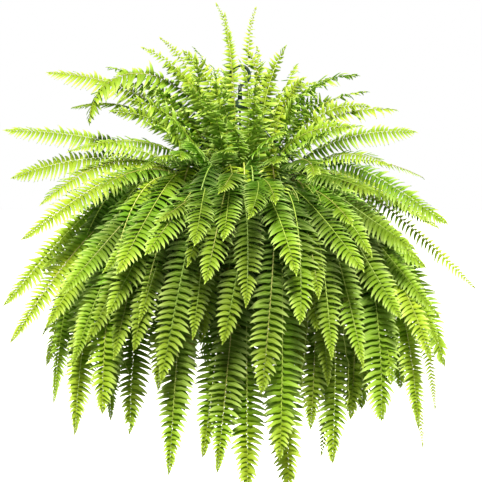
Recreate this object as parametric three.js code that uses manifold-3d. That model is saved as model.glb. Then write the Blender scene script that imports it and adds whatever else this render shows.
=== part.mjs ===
// A fern in a hanging pot: arching fronds that grow in clusters from short root crowns, potting soil,
// a round plastic pot with a flanged rim, and a hanger of three strands and a hook.
// Millimetres, +Z up. The origin is where the hook bears on whatever it hangs from.
import * as THREE from "three";
import { mergeVertices } from "three/addons/utils/BufferGeometryUtils.js";
import Module from "manifold-3d";

const wasm = await Module();
wasm.setup();

// Driving dimensions -------------------------------------------------------------------------
const soilLevel = -194; // the soil's surface below the hook's seat
const gap = 0.4; // left between pieces that touch

const pot = {
  rimRadius: 127,
  rimTop: 12, // above the soil
  flangeThickness: 3,
  skirtDrop: 15,
  skirtThickness: 1.8,
  mouthRadius: 113.5,
  wall: 2,
  height: 185,
  footRadius: 85,
  footWidth: 9,
  footDepth: 3,
  floor: 2.5,
  drainHoles: 6,
  drainRadius: 4.5,
  drainCircle: 60,
  sides: 22,
};
const hanger = {
  strands: 3,
  firstAngle: Math.PI / 2, // one strand at the back, two at the front corners
  thickness: 3,
  rimCircle: 120.5,
  holeRadius: 2.2,
  barbRadius: 2.8,
  barbHeight: 4,
  hubRadius: 8,
  hubBottom: 134, // above the soil
  hubTop: 148,
  hookThickness: 4.6,
  loopRadius: 13.7, // to the middle of the hook's bar
};
const crown = {
  rings: [
    { radius: 16, count: 4 },
    { radius: 38, count: 8 },
    { radius: 60, count: 12 },
    { radius: 81, count: 15 },
  ],
  fronds: 5,
  radius: 9,
  topRadius: 7.5,
  depth: 12,
  height: 12,
  sides: 5,
};
const frond = {
  stalkShare: 0.15, // of the length that carries no leaflets
  pairLength: 57, // of the rib for each pair of leaflets
  leastPairs: 4,
  halfWidth: 29, // of a full-grown frond
  ribWidth: 2.6,
  ribThickness: 1.8,
  clearRibs: 5, // least distance between two ribs
  faceTurn: 0.8, // how far side fronds turn their upper face to the front, in radians
  sweep: 26, // most sideways bend of a rib that is in no other's way
};

// Where the fronds end: [right, back, up, lift of the arch, bow], from the crown's centre on the soil.
// Bow is how far out, as a share of the reach, the arch carries its weight before it falls. A sixth
// number is a slender frond's width, as a share of the usual.
const uprightFronds = [
  [-35, 40, 290, 15, 0.5], [-22, -20, 268, 12, 0.5], [24, 60, 288, 12, 0.5], [66, 0, 224, 12, 0.5],
  [-118, 60, 242, 15, 0.5], [-138, -30, 219, 18, 0.5], [-195, 30, 197, 30, 0.6],
  [-60, -60, 200, 8, 0.4], [32, -40, 195, 5, 0.5], [-90, 110, 195, 20, 0.5],
  [115, 90, 180, 20, 0.5], [85, -70, 172, 5, 0.4], [-12, 125, 205, 15, 0.5],
  [-150, -90, 142, 20, 0.55], [130, 20, 178, 15, 0.5], [-30, -95, 160, 5, 0.45],
  [40, -120, 132, 8, 0.5], [-95, -120, 118, 10, 0.55], [60, 130, 160, 20, 0.5],
  [-150, 120, 140, 30, 0.6], [150, -100, 105, 15, 0.55], [10, 30, 222, 5, 0.4],
  [-15, -150, 112, 12, 0.55], [60, -150, 95, 15, 0.55], [-55, -120, 148, 5, 0.45],
  [105, -60, 150, 8, 0.5], [-105, -30, 195, 12, 0.45], [25, 100, 235, 12, 0.5],
  [-70, 90, 232, 12, 0.45], [85, 70, 205, 15, 0.5], [150, -30, 140, 15, 0.55],
  [-168, 20, 175, 25, 0.55], [-130, -95, 112, 18, 0.55], [-80, -10, 215, 8, 0.4],
  [-45, 80, 205, 12, 0.45], [0, -30, 200, 5, 0.4], [50, 20, 200, 8, 0.45], [95, 30, 182, 12, 0.5],
  [140, 60, 150, 20, 0.55], [170, -60, 108, 20, 0.6], [120, -110, 100, 12, 0.55],
  [70, -110, 142, 5, 0.5], [15, -110, 150, 5, 0.45], [-35, -60, 182, 5, 0.4],
  [-75, -90, 158, 8, 0.45], [-120, -60, 160, 15, 0.5], [-180, -50, 128, 25, 0.6],
  [-10, -170, 70, 22, 0.6], [45, -175, 55, 25, 0.6], [-60, -165, 80, 18, 0.6],
  [-110, -150, 62, 22, 0.6], [0, 80, 190, 12, 0.45], [-140, 100, 165, 25, 0.55],
  [-215, -20, 112, 115, 1.0],
];
const leftFronds = [
  [-285, 40, 190, 35, 0.6], [-258, 110, 142, 45, 0.62], [-340, 0, 104, 20, 0.6],
  [-236, -75, 72, 40, 0.65], [-335, 30, 35, 35, 0.65], [-272, -95, 0, 35, 0.68],
  [-295, -120, -48, 40, 0.62], [-335, -40, -145, 40, 0.62], [-315, -100, -190, 25, 0.6],
  [-295, 45, -200, 60, 0.75], [-262, -65, -280, 45, 0.88], [-228, -100, -318, 35, 0.9],
  [-195, 90, -270, 40, 0.95], [-300, 90, -80, 55, 0.7], [-240, -150, -120, 25, 0.6],
  [-282, -30, -95, 30, 0.6], [-262, -120, -165, 20, 0.65], [-225, -140, -215, 20, 0.75],
  [-285, 20, -240, 45, 0.8], [-205, -150, -185, 15, 0.7],
];
const rightFronds = [
  [178, 70, 188, 40, 0.58], [185, 10, 160, 30, 0.6], [180, -55, 135, 35, 0.65],
  [232, 40, 135, 35, 0.6], [250, -20, 101, 25, 0.6], [205, -85, 52, 35, 0.7],
  [275, 65, 35, 40, 0.65, 0.6], [290, -60, -28, 40, 0.62], [298, 60, -40, 60, 0.7],
  [342, 0, -125, 50, 0.62, 0.55], [275, -90, -155, 30, 0.6], [288, 80, -170, 60, 0.75],
  [282, -40, -200, 40, 0.75], [292, 40, -312, 45, 0.88, 0.6], [252, -65, -318, 35, 0.92],
  [268, 0, -358, 35, 0.9, 0.55], [205, -140, -240, 20, 0.7], [212, -160, -148, 20, 0.5],
  [262, -50, -90, 35, 0.6], [262, -110, -215, 20, 0.75], [300, 10, -240, 45, 0.8],
  [235, -130, -60, 25, 0.55], [190, -150, -290, 25, 0.85],
];
const frontFronds = [
  [12, -290, -12, 30, 0.6], [-42, -265, -92, 20, 0.62], [70, -265, -82, 22, 0.62],
  [76, -250, -145, 22, 0.7], [8, -245, -125, 10, 0.7], [-156, -215, -85, 15, 0.45],
  [-170, -205, -140, 20, 0.5], [-118, -235, -60, 18, 0.5], [-165, -180, -200, 15, 0.55],
  [-100, -225, -222, 20, 0.6], [-93, -190, -352, 30, 0.95], [-85, -130, -300, 30, 1.05],
  [-30, -170, -355, 15, 1.02], [10, -160, -392, 30, 1.05], [66, -155, -392, 25, 1.05],
  [28, -240, -235, 18, 0.8], [52, -205, -330, 30, 0.95], [100, -235, -115, 18, 0.55],
  [118, -215, -195, 20, 0.65], [160, -200, -208, 18, 0.5], [156, -230, -80, 15, 0.45],
  [125, -140, -350, 35, 0.98], [112, -110, -345, 25, 1.05, 0.6], [-20, -250, -40, 28, 0.6],
  [-55, -265, -45, 28, 0.6], [-75, -190, 60, 30, 0.65], [95, -200, 40, 35, 0.65],
  [-25, -235, 18, 30, 0.62], [45, -230, 5, 30, 0.65], [-130, -160, 45, 35, 0.65],
  [-105, -215, -20, 22, 0.55], [180, -140, 15, 30, 0.6], [145, -190, -24, 22, 0.55],
  [-190, -120, 20, 35, 0.65], [-60, -215, -170, 12, 0.75], [-130, -195, -150, 12, 0.55],
  [-50, -150, -340, 20, 1.02], [-5, -150, -285, 20, 1.05], [95, -150, -300, 20, 1.05],
  [-78, -165, -235, 18, 1.0], [150, -130, -290, 25, 1.0],
];

// Three more layers repeat their tiers over a part of the circle.
const layers = [
  {
    count: 24,
    firstAngle: 15,
    spread: 150,
    widen: 1.12,
    tiers: [
      { reach: 262, up: -30, lift: 50, bow: 0.68 },
      { reach: 232, up: -215, lift: 40, bow: 0.85 },
      { reach: 205, up: -280, lift: 35, bow: 0.95 },
      { reach: 250, up: -120, lift: 45, bow: 0.74 },
      { reach: 190, up: -265, lift: 35, bow: 1.0 },
    ],
  },
  {
    count: 16,
    firstAngle: 178,
    spread: 184,
    widen: 1.15,
    tiers: [
      { reach: 232, up: -90, lift: 25, bow: 0.62 },
      { reach: 222, up: -180, lift: 20, bow: 0.78 },
      { reach: 205, up: -255, lift: 22, bow: 0.92 },
    ],
  },
  {
    count: 17,
    firstAngle: 170,
    spread: 200,
    widen: 1.1,
    tiers: [
      { reach: 178, up: -195, lift: 15, bow: 0.95 },
      { reach: 170, up: -240, lift: 15, bow: 1.0 },
      { reach: 164, up: -290, lift: 18, bow: 1.05 },
    ],
  },
];

// Small helpers ------------------------------------------------------------------------------
const goldenShare = 0.618034;
const smooth = (t) => {
  const u = Math.min(1, Math.max(0, t));
  return u * u * (3 - 2 * u);
};

// A repeatable stream of numbers from 0 to 1.
function drawFrom(seed) {
  let value = seed;
  return () => {
    value = (value * 16807) % 2147483647;
    return value / 2147483647;
  };
}

function solidOf(geometry) {
  const bare = geometry.index ? geometry.toNonIndexed() : geometry.clone();
  bare.deleteAttribute("normal");
  bare.deleteAttribute("uv");
  const merged = mergeVertices(bare, 1e-4);
  return new wasm.Manifold(
    new wasm.Mesh({
      numProp: 3,
      vertProperties: merged.attributes.position.array,
      triVerts: new Uint32Array(merged.index.array),
    }),
  );
}

function geometryOf(solid) {
  const mesh = solid.getMesh();
  const positions = new Float32Array(mesh.numVert * 3);
  for (let i = 0; i < mesh.numVert; i++) {
    positions.set(mesh.vertProperties.subarray(i * mesh.numProp, i * mesh.numProp + 3), i * 3);
  }
  const geometry = new THREE.BufferGeometry();
  geometry.setAttribute("position", new THREE.BufferAttribute(positions, 3));
  geometry.setIndex(new THREE.BufferAttribute(mesh.triVerts, 1));
  geometry.computeVertexNormals();
  return geometry;
}

// A solid of revolution about +Z from [radius, height] points.
function turned(points, sides) {
  const profile = points.map(([radius, height]) => new THREE.Vector2(radius, height));
  return new THREE.LatheGeometry(profile, sides).rotateX(Math.PI / 2);
}

// A closed bar of round section along a curve.
function bar(curve, radius, sides, steps) {
  const section = new THREE.Shape();
  for (let i = 0; i < sides; i++) {
    const angle = (2 * Math.PI * i) / sides;
    const point = [radius * Math.cos(angle), radius * Math.sin(angle)];
    if (i === 0) section.moveTo(...point);
    else section.lineTo(...point);
  }
  return new THREE.ExtrudeGeometry(section, { extrudePath: curve, steps });
}

function upright(radiusTop, radiusBottom, height, sides) {
  return new THREE.CylinderGeometry(radiusTop, radiusBottom, height, sides).rotateX(Math.PI / 2);
}

// Pot ----------------------------------------------------------------------------------------
const potBottom = pot.rimTop - pot.height;
const flangeUnder = pot.rimTop - pot.flangeThickness;
const innerFloor = potBottom + pot.footDepth + pot.floor;
const innerFootRadius = pot.footRadius - pot.wall;
const strandAngles = Array.from(
  { length: hanger.strands },
  (_, i) => hanger.firstAngle + (2 * Math.PI * i) / hanger.strands,
);

function makePot() {
  const skirtInside = pot.rimRadius - pot.skirtThickness;
  const skirtBottom = pot.rimTop - pot.skirtDrop;
  const mouthOutside = pot.mouthRadius + pot.wall;
  const shell = solidOf(
    turned(
      [
        [0, potBottom + pot.footDepth],
        [pot.footRadius - pot.footWidth - 1, potBottom + pot.footDepth],
        [pot.footRadius - pot.footWidth, potBottom],
        [pot.footRadius - 1, potBottom],
        [pot.footRadius, potBottom + 1.5],
        [mouthOutside, flangeUnder],
        [skirtInside, flangeUnder],
        [skirtInside, skirtBottom],
        [pot.rimRadius, skirtBottom],
        [pot.rimRadius, pot.rimTop - 1.5],
        [pot.rimRadius - 1.5, pot.rimTop],
        [pot.mouthRadius + 1, pot.rimTop],
        [pot.mouthRadius, pot.rimTop - 1],
        [innerFootRadius, innerFloor + 4],
        [innerFootRadius - 4, innerFloor],
        [0, innerFloor],
      ],
      pot.sides,
    ),
  );
  let holed = shell;
  for (let i = 0; i < pot.drainHoles; i++) {
    const angle = (2 * Math.PI * (i + 0.5)) / pot.drainHoles;
    const hole = upright(pot.drainRadius, pot.drainRadius, 12, 8).translate(
      pot.drainCircle * Math.cos(angle),
      pot.drainCircle * Math.sin(angle),
      innerFloor,
    );
    holed = holed.subtract(solidOf(hole));
  }
  for (const angle of strandAngles) {
    const hole = upright(hanger.holeRadius, hanger.holeRadius, 8, 8).translate(
      hanger.rimCircle * Math.cos(angle),
      hanger.rimCircle * Math.sin(angle),
      flangeUnder + 1.5,
    );
    holed = holed.subtract(solidOf(hole));
  }
  return geometryOf(holed);
}

// Radius of the pot's outside at a height, with a margin; zero above and below it.
function potReach(height, margin) {
  if (height > pot.rimTop + margin || height < potBottom - margin) return 0;
  if (height > pot.rimTop - pot.skirtDrop - margin) return pot.rimRadius + margin;
  const share = (height - potBottom) / pot.height;
  return pot.footRadius + (pot.mouthRadius + pot.wall - pot.footRadius) * share + margin;
}

// Hanger -------------------------------------------------------------------------------------
const seatAboveSoil = -soilLevel;
const loopCentre = seatAboveSoil + hanger.hookThickness / 2 - hanger.loopRadius;

// Hub, stem and an open loop, moulded in one.
function makeHook() {
  const points = [];
  const loopStart = -Math.PI / 2;
  const loopTurn = -1.62 * Math.PI;
  for (let i = 0; i <= 18; i++) {
    const angle = loopStart + (loopTurn * i) / 18;
    points.push(
      new THREE.Vector3(
        hanger.loopRadius * Math.cos(angle),
        0,
        loopCentre + hanger.loopRadius * Math.sin(angle),
      ),
    );
  }
  const loop = solidOf(bar(new THREE.CatmullRomCurve3(points), hanger.hookThickness / 2, 6, 18));
  const stemTop = loopCentre - hanger.loopRadius + 1;
  const stem = upright(hanger.hookThickness / 2, 3.4, stemTop - hanger.hubTop + 4, 8).translate(
    0,
    0,
    (stemTop + hanger.hubTop - 4) / 2,
  );
  const hubHeight = hanger.hubTop - hanger.hubBottom;
  const hub = upright(hanger.hubRadius * 0.6, hanger.hubRadius, hubHeight, 12).translate(
    0,
    0,
    hanger.hubBottom + hubHeight / 2,
  );
  return geometryOf(loop.add(solidOf(stem)).add(solidOf(hub)));
}

// A strand's line, from the hub's side down to the flange and through its hole.
function strandLine(angle) {
  const out = new THREE.Vector3(Math.cos(angle), Math.sin(angle), 0);
  const at = (radius, height) => out.clone().multiplyScalar(radius).setZ(height);
  return [
    at(hanger.hubRadius + hanger.thickness / 2 + gap, hanger.hubBottom + 3),
    at(hanger.rimCircle * 0.45, hanger.hubBottom * 0.66),
    at(hanger.rimCircle * 0.94, pot.rimTop + 20),
    at(hanger.rimCircle, pot.rimTop + 7),
    at(hanger.rimCircle, pot.rimTop + 1),
    at(hanger.rimCircle, flangeUnder - gap - hanger.barbHeight / 2),
  ];
}

// The hook's middle line, from the hub to the top of the loop.
function hookLine() {
  const top = loopCentre + hanger.loopRadius;
  return Array.from({ length: 13 }, (_, i) => {
    return new THREE.Vector3(0, 0, THREE.MathUtils.lerp(hanger.hubBottom, top, i / 12));
  });
}

function makeStrand(angle) {
  const curve = new THREE.CatmullRomCurve3(strandLine(angle));
  const cord = solidOf(bar(curve, hanger.thickness / 2, 6, 11));
  const barb = upright(hanger.barbRadius, hanger.barbRadius * 0.6, hanger.barbHeight, 6).translate(
    hanger.rimCircle * Math.cos(angle),
    hanger.rimCircle * Math.sin(angle),
    flangeUnder - gap - hanger.barbHeight / 2,
  );
  return geometryOf(cord.add(solidOf(barb)));
}

// Where each frond ends and grows ------------------------------------------------------------
function layerTips({ count, firstAngle, spread, widen, tiers }) {
  return Array.from({ length: count }, (_, i) => {
    const angle = THREE.MathUtils.degToRad(firstAngle + spread * ((i * goldenShare) % 1));
    const tier = tiers[i % tiers.length];
    const wander = Math.sin(i * 2.3);
    return [
      tier.reach * Math.cos(angle) * widen + 8 * wander,
      tier.reach * Math.sin(angle) + 10 * wander,
      tier.up + 25 * wander,
      tier.lift * (1 + 0.2 * wander),
      tier.bow,
    ];
  });
}

const turnOf = (x, y) => (Math.atan2(y, x) + 2 * Math.PI) % (2 * Math.PI);

// The highest fronds grow from the inner ring of crowns and the lowest from the outer one. In a ring
// the crowns stand evenly, in the order of the directions that their fronds take.
function plantCrowns(tips) {
  const order = [...tips].sort((a, b) => b[2] + 1.5 * b[3] - a[2] - 1.5 * a[3]);
  const crowns = [];
  for (const ring of crown.rings) {
    const members = order.splice(0, ring.count * crown.fronds);
    members.sort((a, b) => turnOf(a[0], a[1]) - turnOf(b[0], b[1]));
    const groups = [];
    for (let i = 0; i < members.length; i += crown.fronds) {
      groups.push(members.slice(i, i + crown.fronds));
    }
    const step = (2 * Math.PI) / groups.length;
    let east = 0;
    let north = 0;
    groups.forEach((group, i) => {
      const sum = (axis) => group.reduce((total, tip) => total + tip[axis], 0);
      const lead = turnOf(sum(0), sum(1)) - i * step;
      east += Math.cos(lead);
      north += Math.sin(lead);
    });
    const phase = Math.atan2(north, east);
    groups.forEach((group, i) => {
      const angle = phase + i * step;
      crowns.push({
        x: ring.radius * Math.cos(angle),
        y: ring.radius * Math.sin(angle),
        tips: group,
      });
    });
  }
  return crowns;
}

// The rib's curve from a crown to a frond's tip; sweep bends it sideways and extra lift raises it.
function ribCurve(place, [x, y, z, ownLift, bow], { sweep, extra }) {
  const lift = ownLift + extra;
  const outward = new THREE.Vector3(x - place.x, y - place.y, 0);
  const reach = outward.length();
  outward.normalize();
  const side = new THREE.Vector3(-outward.y, outward.x, 0);
  const above = Math.max(z, 0);
  const below = Math.max(-z, 0);
  const root = new THREE.Vector3(place.x, place.y, 3);
  const rise = root.clone().addScaledVector(outward, 0.2 * reach);
  rise.addScaledVector(side, 0.4 * sweep).setZ(0.42 * above + 1.55 * lift + 0.1 * below);
  // Side fronds run out straight at the end; the front, the back and the lowest ones hang down.
  const sideways = smooth(0.2 + (Math.abs(x) - Math.abs(y)) / 150);
  const hanging = Math.max(smooth((below - 100) / 220), 1 - sideways, smooth((bow - 0.65) / 0.25));
  const hungZ = 0.78 * above + 1.15 * lift;
  const straightZ = z + (1 - bow) * reach * (0.6 + below / 300);
  const fall = root.clone().addScaledVector(outward, bow * reach).addScaledVector(side, sweep);
  fall.setZ(z < 0 ? straightZ + (hungZ - straightZ) * hanging : hungZ);
  return new THREE.CubicBezierCurve3(root, rise, fall, new THREE.Vector3(x, y, z));
}

// Shares of the rib's length where its stations lie: the root, then one for each pair of leaflets.
function ribShares(curve) {
  const leafy = 1 - frond.stalkShare;
  const pairs = Math.max(frond.leastPairs, Math.round((curve.getLength() * leafy) / frond.pairLength));
  const shares = [0];
  for (let i = 0; i <= pairs; i++) shares.push(frond.stalkShare + (leafy * i) / (pairs + 0.6));
  return shares;
}

// The rib as it is built, straight between stations, as closely spaced points.
function ribPoints(curve, shares) {
  const knots = [...shares, 1].map((share) => curve.getPointAt(share));
  return knots.slice(1).flatMap((knot, i) => {
    const steps = Math.max(1, Math.ceil(knot.distanceTo(knots[i]) / 5));
    return Array.from({ length: steps }, (_, k) => knots[i].clone().lerp(knot, (k + 1) / steps));
  });
}

const lineGap = (a, b) => {
  let least = Infinity;
  for (const p of a) for (const q of b) least = Math.min(least, p.distanceToSquared(q));
  return Math.sqrt(least);
};

// Whether a point lies in the pot's wall, in its rim or under the soil.
function hitsPot({ x, y, z }) {
  const reach = Math.hypot(x, y);
  return reach < pot.mouthRadius - 3 ? z < 1 : reach < potReach(z, 2.5);
}

// Fronds of one crown part ways a little beyond it.
function roomBetween(points, place, other) {
  if (other.place !== place) return lineGap(points, other.points) - other.stout;
  if (other.stout > 0) return Infinity;
  return lineGap(points.slice(6), other.points.slice(6)) + 2;
}

const crownLine = ({ x, y }) =>
  [0, crown.height / 2, crown.height].map((z) => new THREE.Vector3(x, y, z));

// Each rib has a sideways sweep of its own. It is swept further, a little more at each try, until it
// is clear of the pot and of the ribs placed before it, then raised.
const ribTries = [0, 8, 16, 24, 32].flatMap((extra) =>
  [0, 9, -9, 18, -18, 27, -27, 36, -36, 45, -45].map((sweep) => ({ sweep, extra })),
);
function layOut(crowns) {
  const strands = strandAngles.map((angle) =>
    new THREE.CatmullRomCurve3(strandLine(angle)).getSpacedPoints(60),
  );
  const placed = strands.map((points) => ({ points, stout: 0, place: null }));
  placed.push({ points: hookLine(), stout: hanger.loopRadius, place: null });
  for (const place of crowns) placed.push({ points: crownLine(place), stout: crown.radius, place });
  const fronds = [];
  for (const place of crowns) {
    for (const tip of place.tips) {
      let best = null;
      const ownSweep = frond.sweep * Math.sin(fronds.length * 2.3);
      for (const { sweep, extra } of ribTries) {
        const curve = ribCurve(place, tip, { sweep: ownSweep + sweep, extra });
        const shares = ribShares(curve);
        const points = ribPoints(curve, shares);
        const rooms = placed.map((other) => roomBetween(points, place, other));
        const room = points.some(hitsPot) ? -1 : Math.min(...rooms);
        if (!best || room > best.room) best = { curve, shares, points, room, place, tip, stout: 0 };
        if (room >= frond.clearRibs) break;
      }
      placed.push(best);
      fronds.push(best);
    }
  }
  return fronds;
}

// Keeping leaflets clear of each other -------------------------------------------------------
const cell = 30;
const thicket = new Map(); // thin triangles already placed, by the cells of space they touch

function cellsOf(box) {
  const keys = [];
  const low = box.min.clone().divideScalar(cell).floor();
  const high = box.max.clone().divideScalar(cell).floor();
  for (let i = low.x; i <= high.x; i++)
    for (let j = low.y; j <= high.y; j++)
      for (let k = low.z; k <= high.z; k++) keys.push(`${i},${j},${k}`);
  return keys;
}

// A blade's mid-surface: its corners, half its thickness, and the frond and segment it belongs to.
function sliver(corners, half, owner, segment, hand) {
  const box = new THREE.Box3().setFromPoints(corners).expandByScalar(half + gap / 2);
  return { corners, half, owner, segment, hand, box };
}

function place(piece) {
  for (const key of cellsOf(piece.box)) {
    if (!thicket.has(key)) thicket.set(key, []);
    thicket.get(key).push(piece);
  }
}

const spanA = new THREE.Vector3();
const spanB = new THREE.Vector3();
const between = new THREE.Vector3();

// Least distance between segments a-b and c-d.
function segmentGap(a, b, c, d) {
  spanA.subVectors(b, a);
  spanB.subVectors(d, c);
  between.subVectors(a, c);
  const aa = spanA.dot(spanA);
  const bb = spanB.dot(spanB);
  const ab = spanA.dot(spanB);
  const ar = spanA.dot(between);
  const br = spanB.dot(between);
  const clamp = (v) => Math.min(1, Math.max(0, v));
  const det = aa * bb - ab * ab;
  let s = det > 1e-9 ? clamp((ab * br - ar * bb) / det) : 0;
  let t = bb > 1e-9 ? (ab * s + br) / bb : 0;
  if (t < 0 || t > 1) {
    t = clamp(t);
    s = aa > 1e-9 ? clamp((ab * t - ar) / aa) : 0;
  }
  return between.addScaledVector(spanA, s).addScaledVector(spanB, -t).length();
}

const volumeSign = (a, b, c, d) => {
  spanA.subVectors(b, a);
  spanB.subVectors(c, a);
  between.subVectors(d, a);
  return Math.sign(spanA.cross(spanB).dot(between));
};

function pierces(p, q, [a, b, c]) {
  if (volumeSign(a, b, c, p) === volumeSign(a, b, c, q)) return false;
  const turn = volumeSign(p, q, a, b);
  return turn === volumeSign(p, q, b, c) && turn === volumeSign(p, q, c, a);
}

const faceProbe = new THREE.Triangle();
const nearest = new THREE.Vector3();
function touches(one, two) {
  const room = one.half + two.half + gap / 2;
  const [a, b] = [one.corners, two.corners];
  for (let i = 0; i < 3; i++) {
    for (let j = 0; j < 3; j++) {
      if (segmentGap(a[i], a[(i + 1) % 3], b[j], b[(j + 1) % 3]) < room) return true;
    }
  }
  for (const [p, q] of [[a, b], [b, a]]) {
    faceProbe.set(...q);
    for (let i = 0; i < 3; i++) {
      if (pierces(p[i], p[(i + 1) % 3], q)) return true;
      if (faceProbe.closestPointToPoint(p[i], nearest).distanceTo(p[i]) < room) return true;
    }
  }
  return false;
}

// The outer two thirds of a leaflet, which must be clear of its own frond too.
function outerPart(piece) {
  if (piece.hand === 0) return piece;
  const [a, b, tip] = piece.corners;
  const corners = [a.clone().lerp(tip, 0.35), b.clone().lerp(tip, 0.35), tip];
  return sliver(corners, piece.half, piece.owner, piece.segment, piece.hand);
}

const inPot = (point) => Math.hypot(point.x, point.y) < potReach(point.z, 2);

function isClear(piece) {
  const [a, b, tip] = piece.corners;
  const middle = a.clone().lerp(b, 0.5);
  for (const share of [0.2, 0.4, 0.6, 0.8, 1]) {
    for (const start of [a, b, middle]) if (inPot(start.clone().lerp(tip, share))) return false;
  }
  for (const key of cellsOf(piece.box)) {
    for (const other of thicket.get(key) ?? []) {
      const own = other.owner === piece.owner;
      const [one, two] = own ? [outerPart(piece), outerPart(other)] : [piece, other];
      if (one.box.intersectsBox(two.box) && touches(one, two)) return false;
    }
  }
  return true;
}

// Fronds -------------------------------------------------------------------------------------
const up = new THREE.Vector3(0, 0, 1);

// Half the frond's width along its blade, from 0 where the leaflets start to 1 at the tip. A high
// taper keeps its sides parallel almost to the end.
const bladeWidth = (share, taper) => (0.55 + 0.45 * smooth(share / 0.2)) * (1 - share ** taper) ** 0.85;

// Tall fronds are slim, and those of the upright tuft are turned about at random.
function habitOf([x, , z, , , slim = 1], draw) {
  const tall = smooth((z - 205) / 50);
  const tuft = smooth((z - 60) / 110) * smooth((260 - Math.abs(x)) / 60);
  const twist = (draw() - 0.5) * (0.5 + 2.6 * tuft);
  const size = (0.92 + 0.16 * draw()) * (1 - 0.35 * tall) * slim;
  const taper = 3 + 5 * draw() * (1 - tall);
  return { twist, size, taper };
}

// Stations along the rib, each with its place and its across and facing directions.
function stationsOf(entry, twist) {
  const { curve, shares, tip, place: from } = entry;
  const outward = new THREE.Vector3(tip[0] - from.x, tip[1] - from.y, 0).normalize();
  const flat = outward.clone().cross(up);
  const turn = frond.faceTurn * flat.y * (tip[1] > 60 ? 0.4 : 1);
  const centres = [...shares, 1].map((share) => curve.getPointAt(share));
  return shares.map((share, i) => {
    const centre = centres[i];
    const along = centres[i + 1].clone().sub(centres[Math.max(0, i - 1)]).normalize();
    const across = flat.clone().addScaledVector(along, -flat.dot(along)).normalize();
    const facing = across.clone().cross(along);
    const roll = turn * smooth(share * 1.5) + twist * share;
    const rolled = across.clone().multiplyScalar(Math.cos(roll));
    rolled.addScaledVector(facing, Math.sin(roll));
    return { share, centre, along, across: rolled, facing: rolled.clone().cross(along) };
  });
}

// A rib's corners at a station: right and left edges, and the keel below.
function ribCorners({ share, centre, across, facing }) {
  const taper = 1 - 0.6 * share;
  const corner = (side, top) =>
    centre
      .clone()
      .addScaledVector(across, (side * frond.ribWidth * taper) / 2)
      .addScaledVector(facing, (top * frond.ribThickness * taper) / 2);
  return [corner(1, 1), corner(-1, 1), corner(0, -1)];
}

// Tries of a leaflet: full size first, hanging a little, then bent clear, then shorter.
const leafletTries = [1, 0.8, 0.6, 0.42].flatMap((size) =>
  [0.2, 0.6, -0.2, 0.85, -0.5].map((hang) => ({ size, hang })),
);

function leafletTip(near, far, side, width, hang) {
  const base = near.centre.clone().lerp(far.centre, 0.62);
  const reach = width * Math.cos(hang);
  return base
    .addScaledVector(near.across, side * reach)
    .addScaledVector(near.facing, -width * Math.sin(hang))
    .addScaledVector(near.along, width * 0.16);
}

function makeFrond(entry, owner, draw) {
  const habit = habitOf(entry.tip, draw);
  const stations = stationsOf(entry, habit.twist);
  const vertices = [];
  const faces = [];
  const add = (point) => vertices.push(point) - 1;
  const rings = stations.map((station) => ribCorners(station).map(add));
  const grown = Math.min(1, 0.45 + entry.curve.getLength() / 700);
  const size = frond.halfWidth * grown * habit.size;
  faces.push(rings[0]);
  for (let i = 0; i + 1 < rings.length; i++) {
    const [near, far] = [rings[i], rings[i + 1]];
    faces.push([near[0], far[0], far[1]], [near[0], far[1], near[1]]);
    const share = (stations[i].share - frond.stalkShare) / (1 - frond.stalkShare);
    for (const side of [1, -1]) {
      const [upper, keel] = side > 0 ? [2, 0] : [1, 2];
      const [a, b, c, d] = [near[upper], far[upper], far[keel], near[keel]];
      let apex = null;
      if (share >= -0.001) {
        const width = size * bladeWidth(Math.min(1, share + 0.02), habit.taper);
        for (const attempt of leafletTries) {
          const tip = leafletTip(stations[i], stations[i + 1], side, width * attempt.size, attempt.hang);
          const base = [a, d].map((k) => vertices[k]);
          const tail = [b, c].map((k) => vertices[k]);
          const start = base[0].clone().lerp(base[1], 0.5);
          const stop = tail[0].clone().lerp(tail[1], 0.5);
          const piece = sliver([start, stop, tip], frond.ribThickness / 2, owner, i, side);
          if (isClear(piece)) {
            place(piece);
            apex = add(tip);
            break;
          }
        }
      }
      if (apex === null) faces.push([a, b, c], [a, c, d]);
      else faces.push([a, b, apex], [b, c, apex], [c, d, apex], [d, a, apex]);
    }
  }
  const last = rings[rings.length - 1];
  const point = add(entry.curve.getPointAt(1));
  for (let k = 0; k < 3; k++) faces.push([last[(k + 1) % 3], last[k], point]);
  const geometry = new THREE.BufferGeometry();
  const positions = vertices.flatMap((v) => v.toArray());
  geometry.setAttribute("position", new THREE.Float32BufferAttribute(positions, 3));
  geometry.setIndex(faces.flat());
  return geometry;
}

// Ribs are placed before any leaflet, so that leaflets bend clear of every rib.
function placeRibs(fronds) {
  fronds.forEach(({ points }, owner) => {
    for (let i = 0; i + 1 < points.length; i++) {
      place(sliver([points[i], points[i + 1], points[i + 1]], frond.ribWidth / 2, owner, i, 0));
    }
  });
}

function placeStrands() {
  for (const angle of strandAngles) {
    const points = new THREE.CatmullRomCurve3(strandLine(angle)).getSpacedPoints(10);
    for (let i = 0; i + 1 < points.length; i++) {
      const corners = [points[i], points[i + 1], points[i + 1]];
      place(sliver(corners, hanger.thickness / 2 + 0.5, "strand", 0, 0));
    }
  }
  const middle = hookLine();
  const [low, high] = [middle[0], middle[middle.length - 1]];
  place(sliver([low, high, high], hanger.loopRadius + hanger.hookThickness, "hook", 0, 0));
}

function placeCrowns(crowns) {
  for (const spot of crowns) {
    const [low, , high] = crownLine(spot);
    place(sliver([low, high, high], crown.radius, "crown", 0, 0));
  }
}

function makeCrown({ x, y }) {
  const height = crown.depth + crown.height;
  return solidOf(
    upright(crown.topRadius, crown.radius, height, crown.sides).translate(
      x,
      y,
      crown.height - height / 2,
    ),
  );
}

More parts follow.
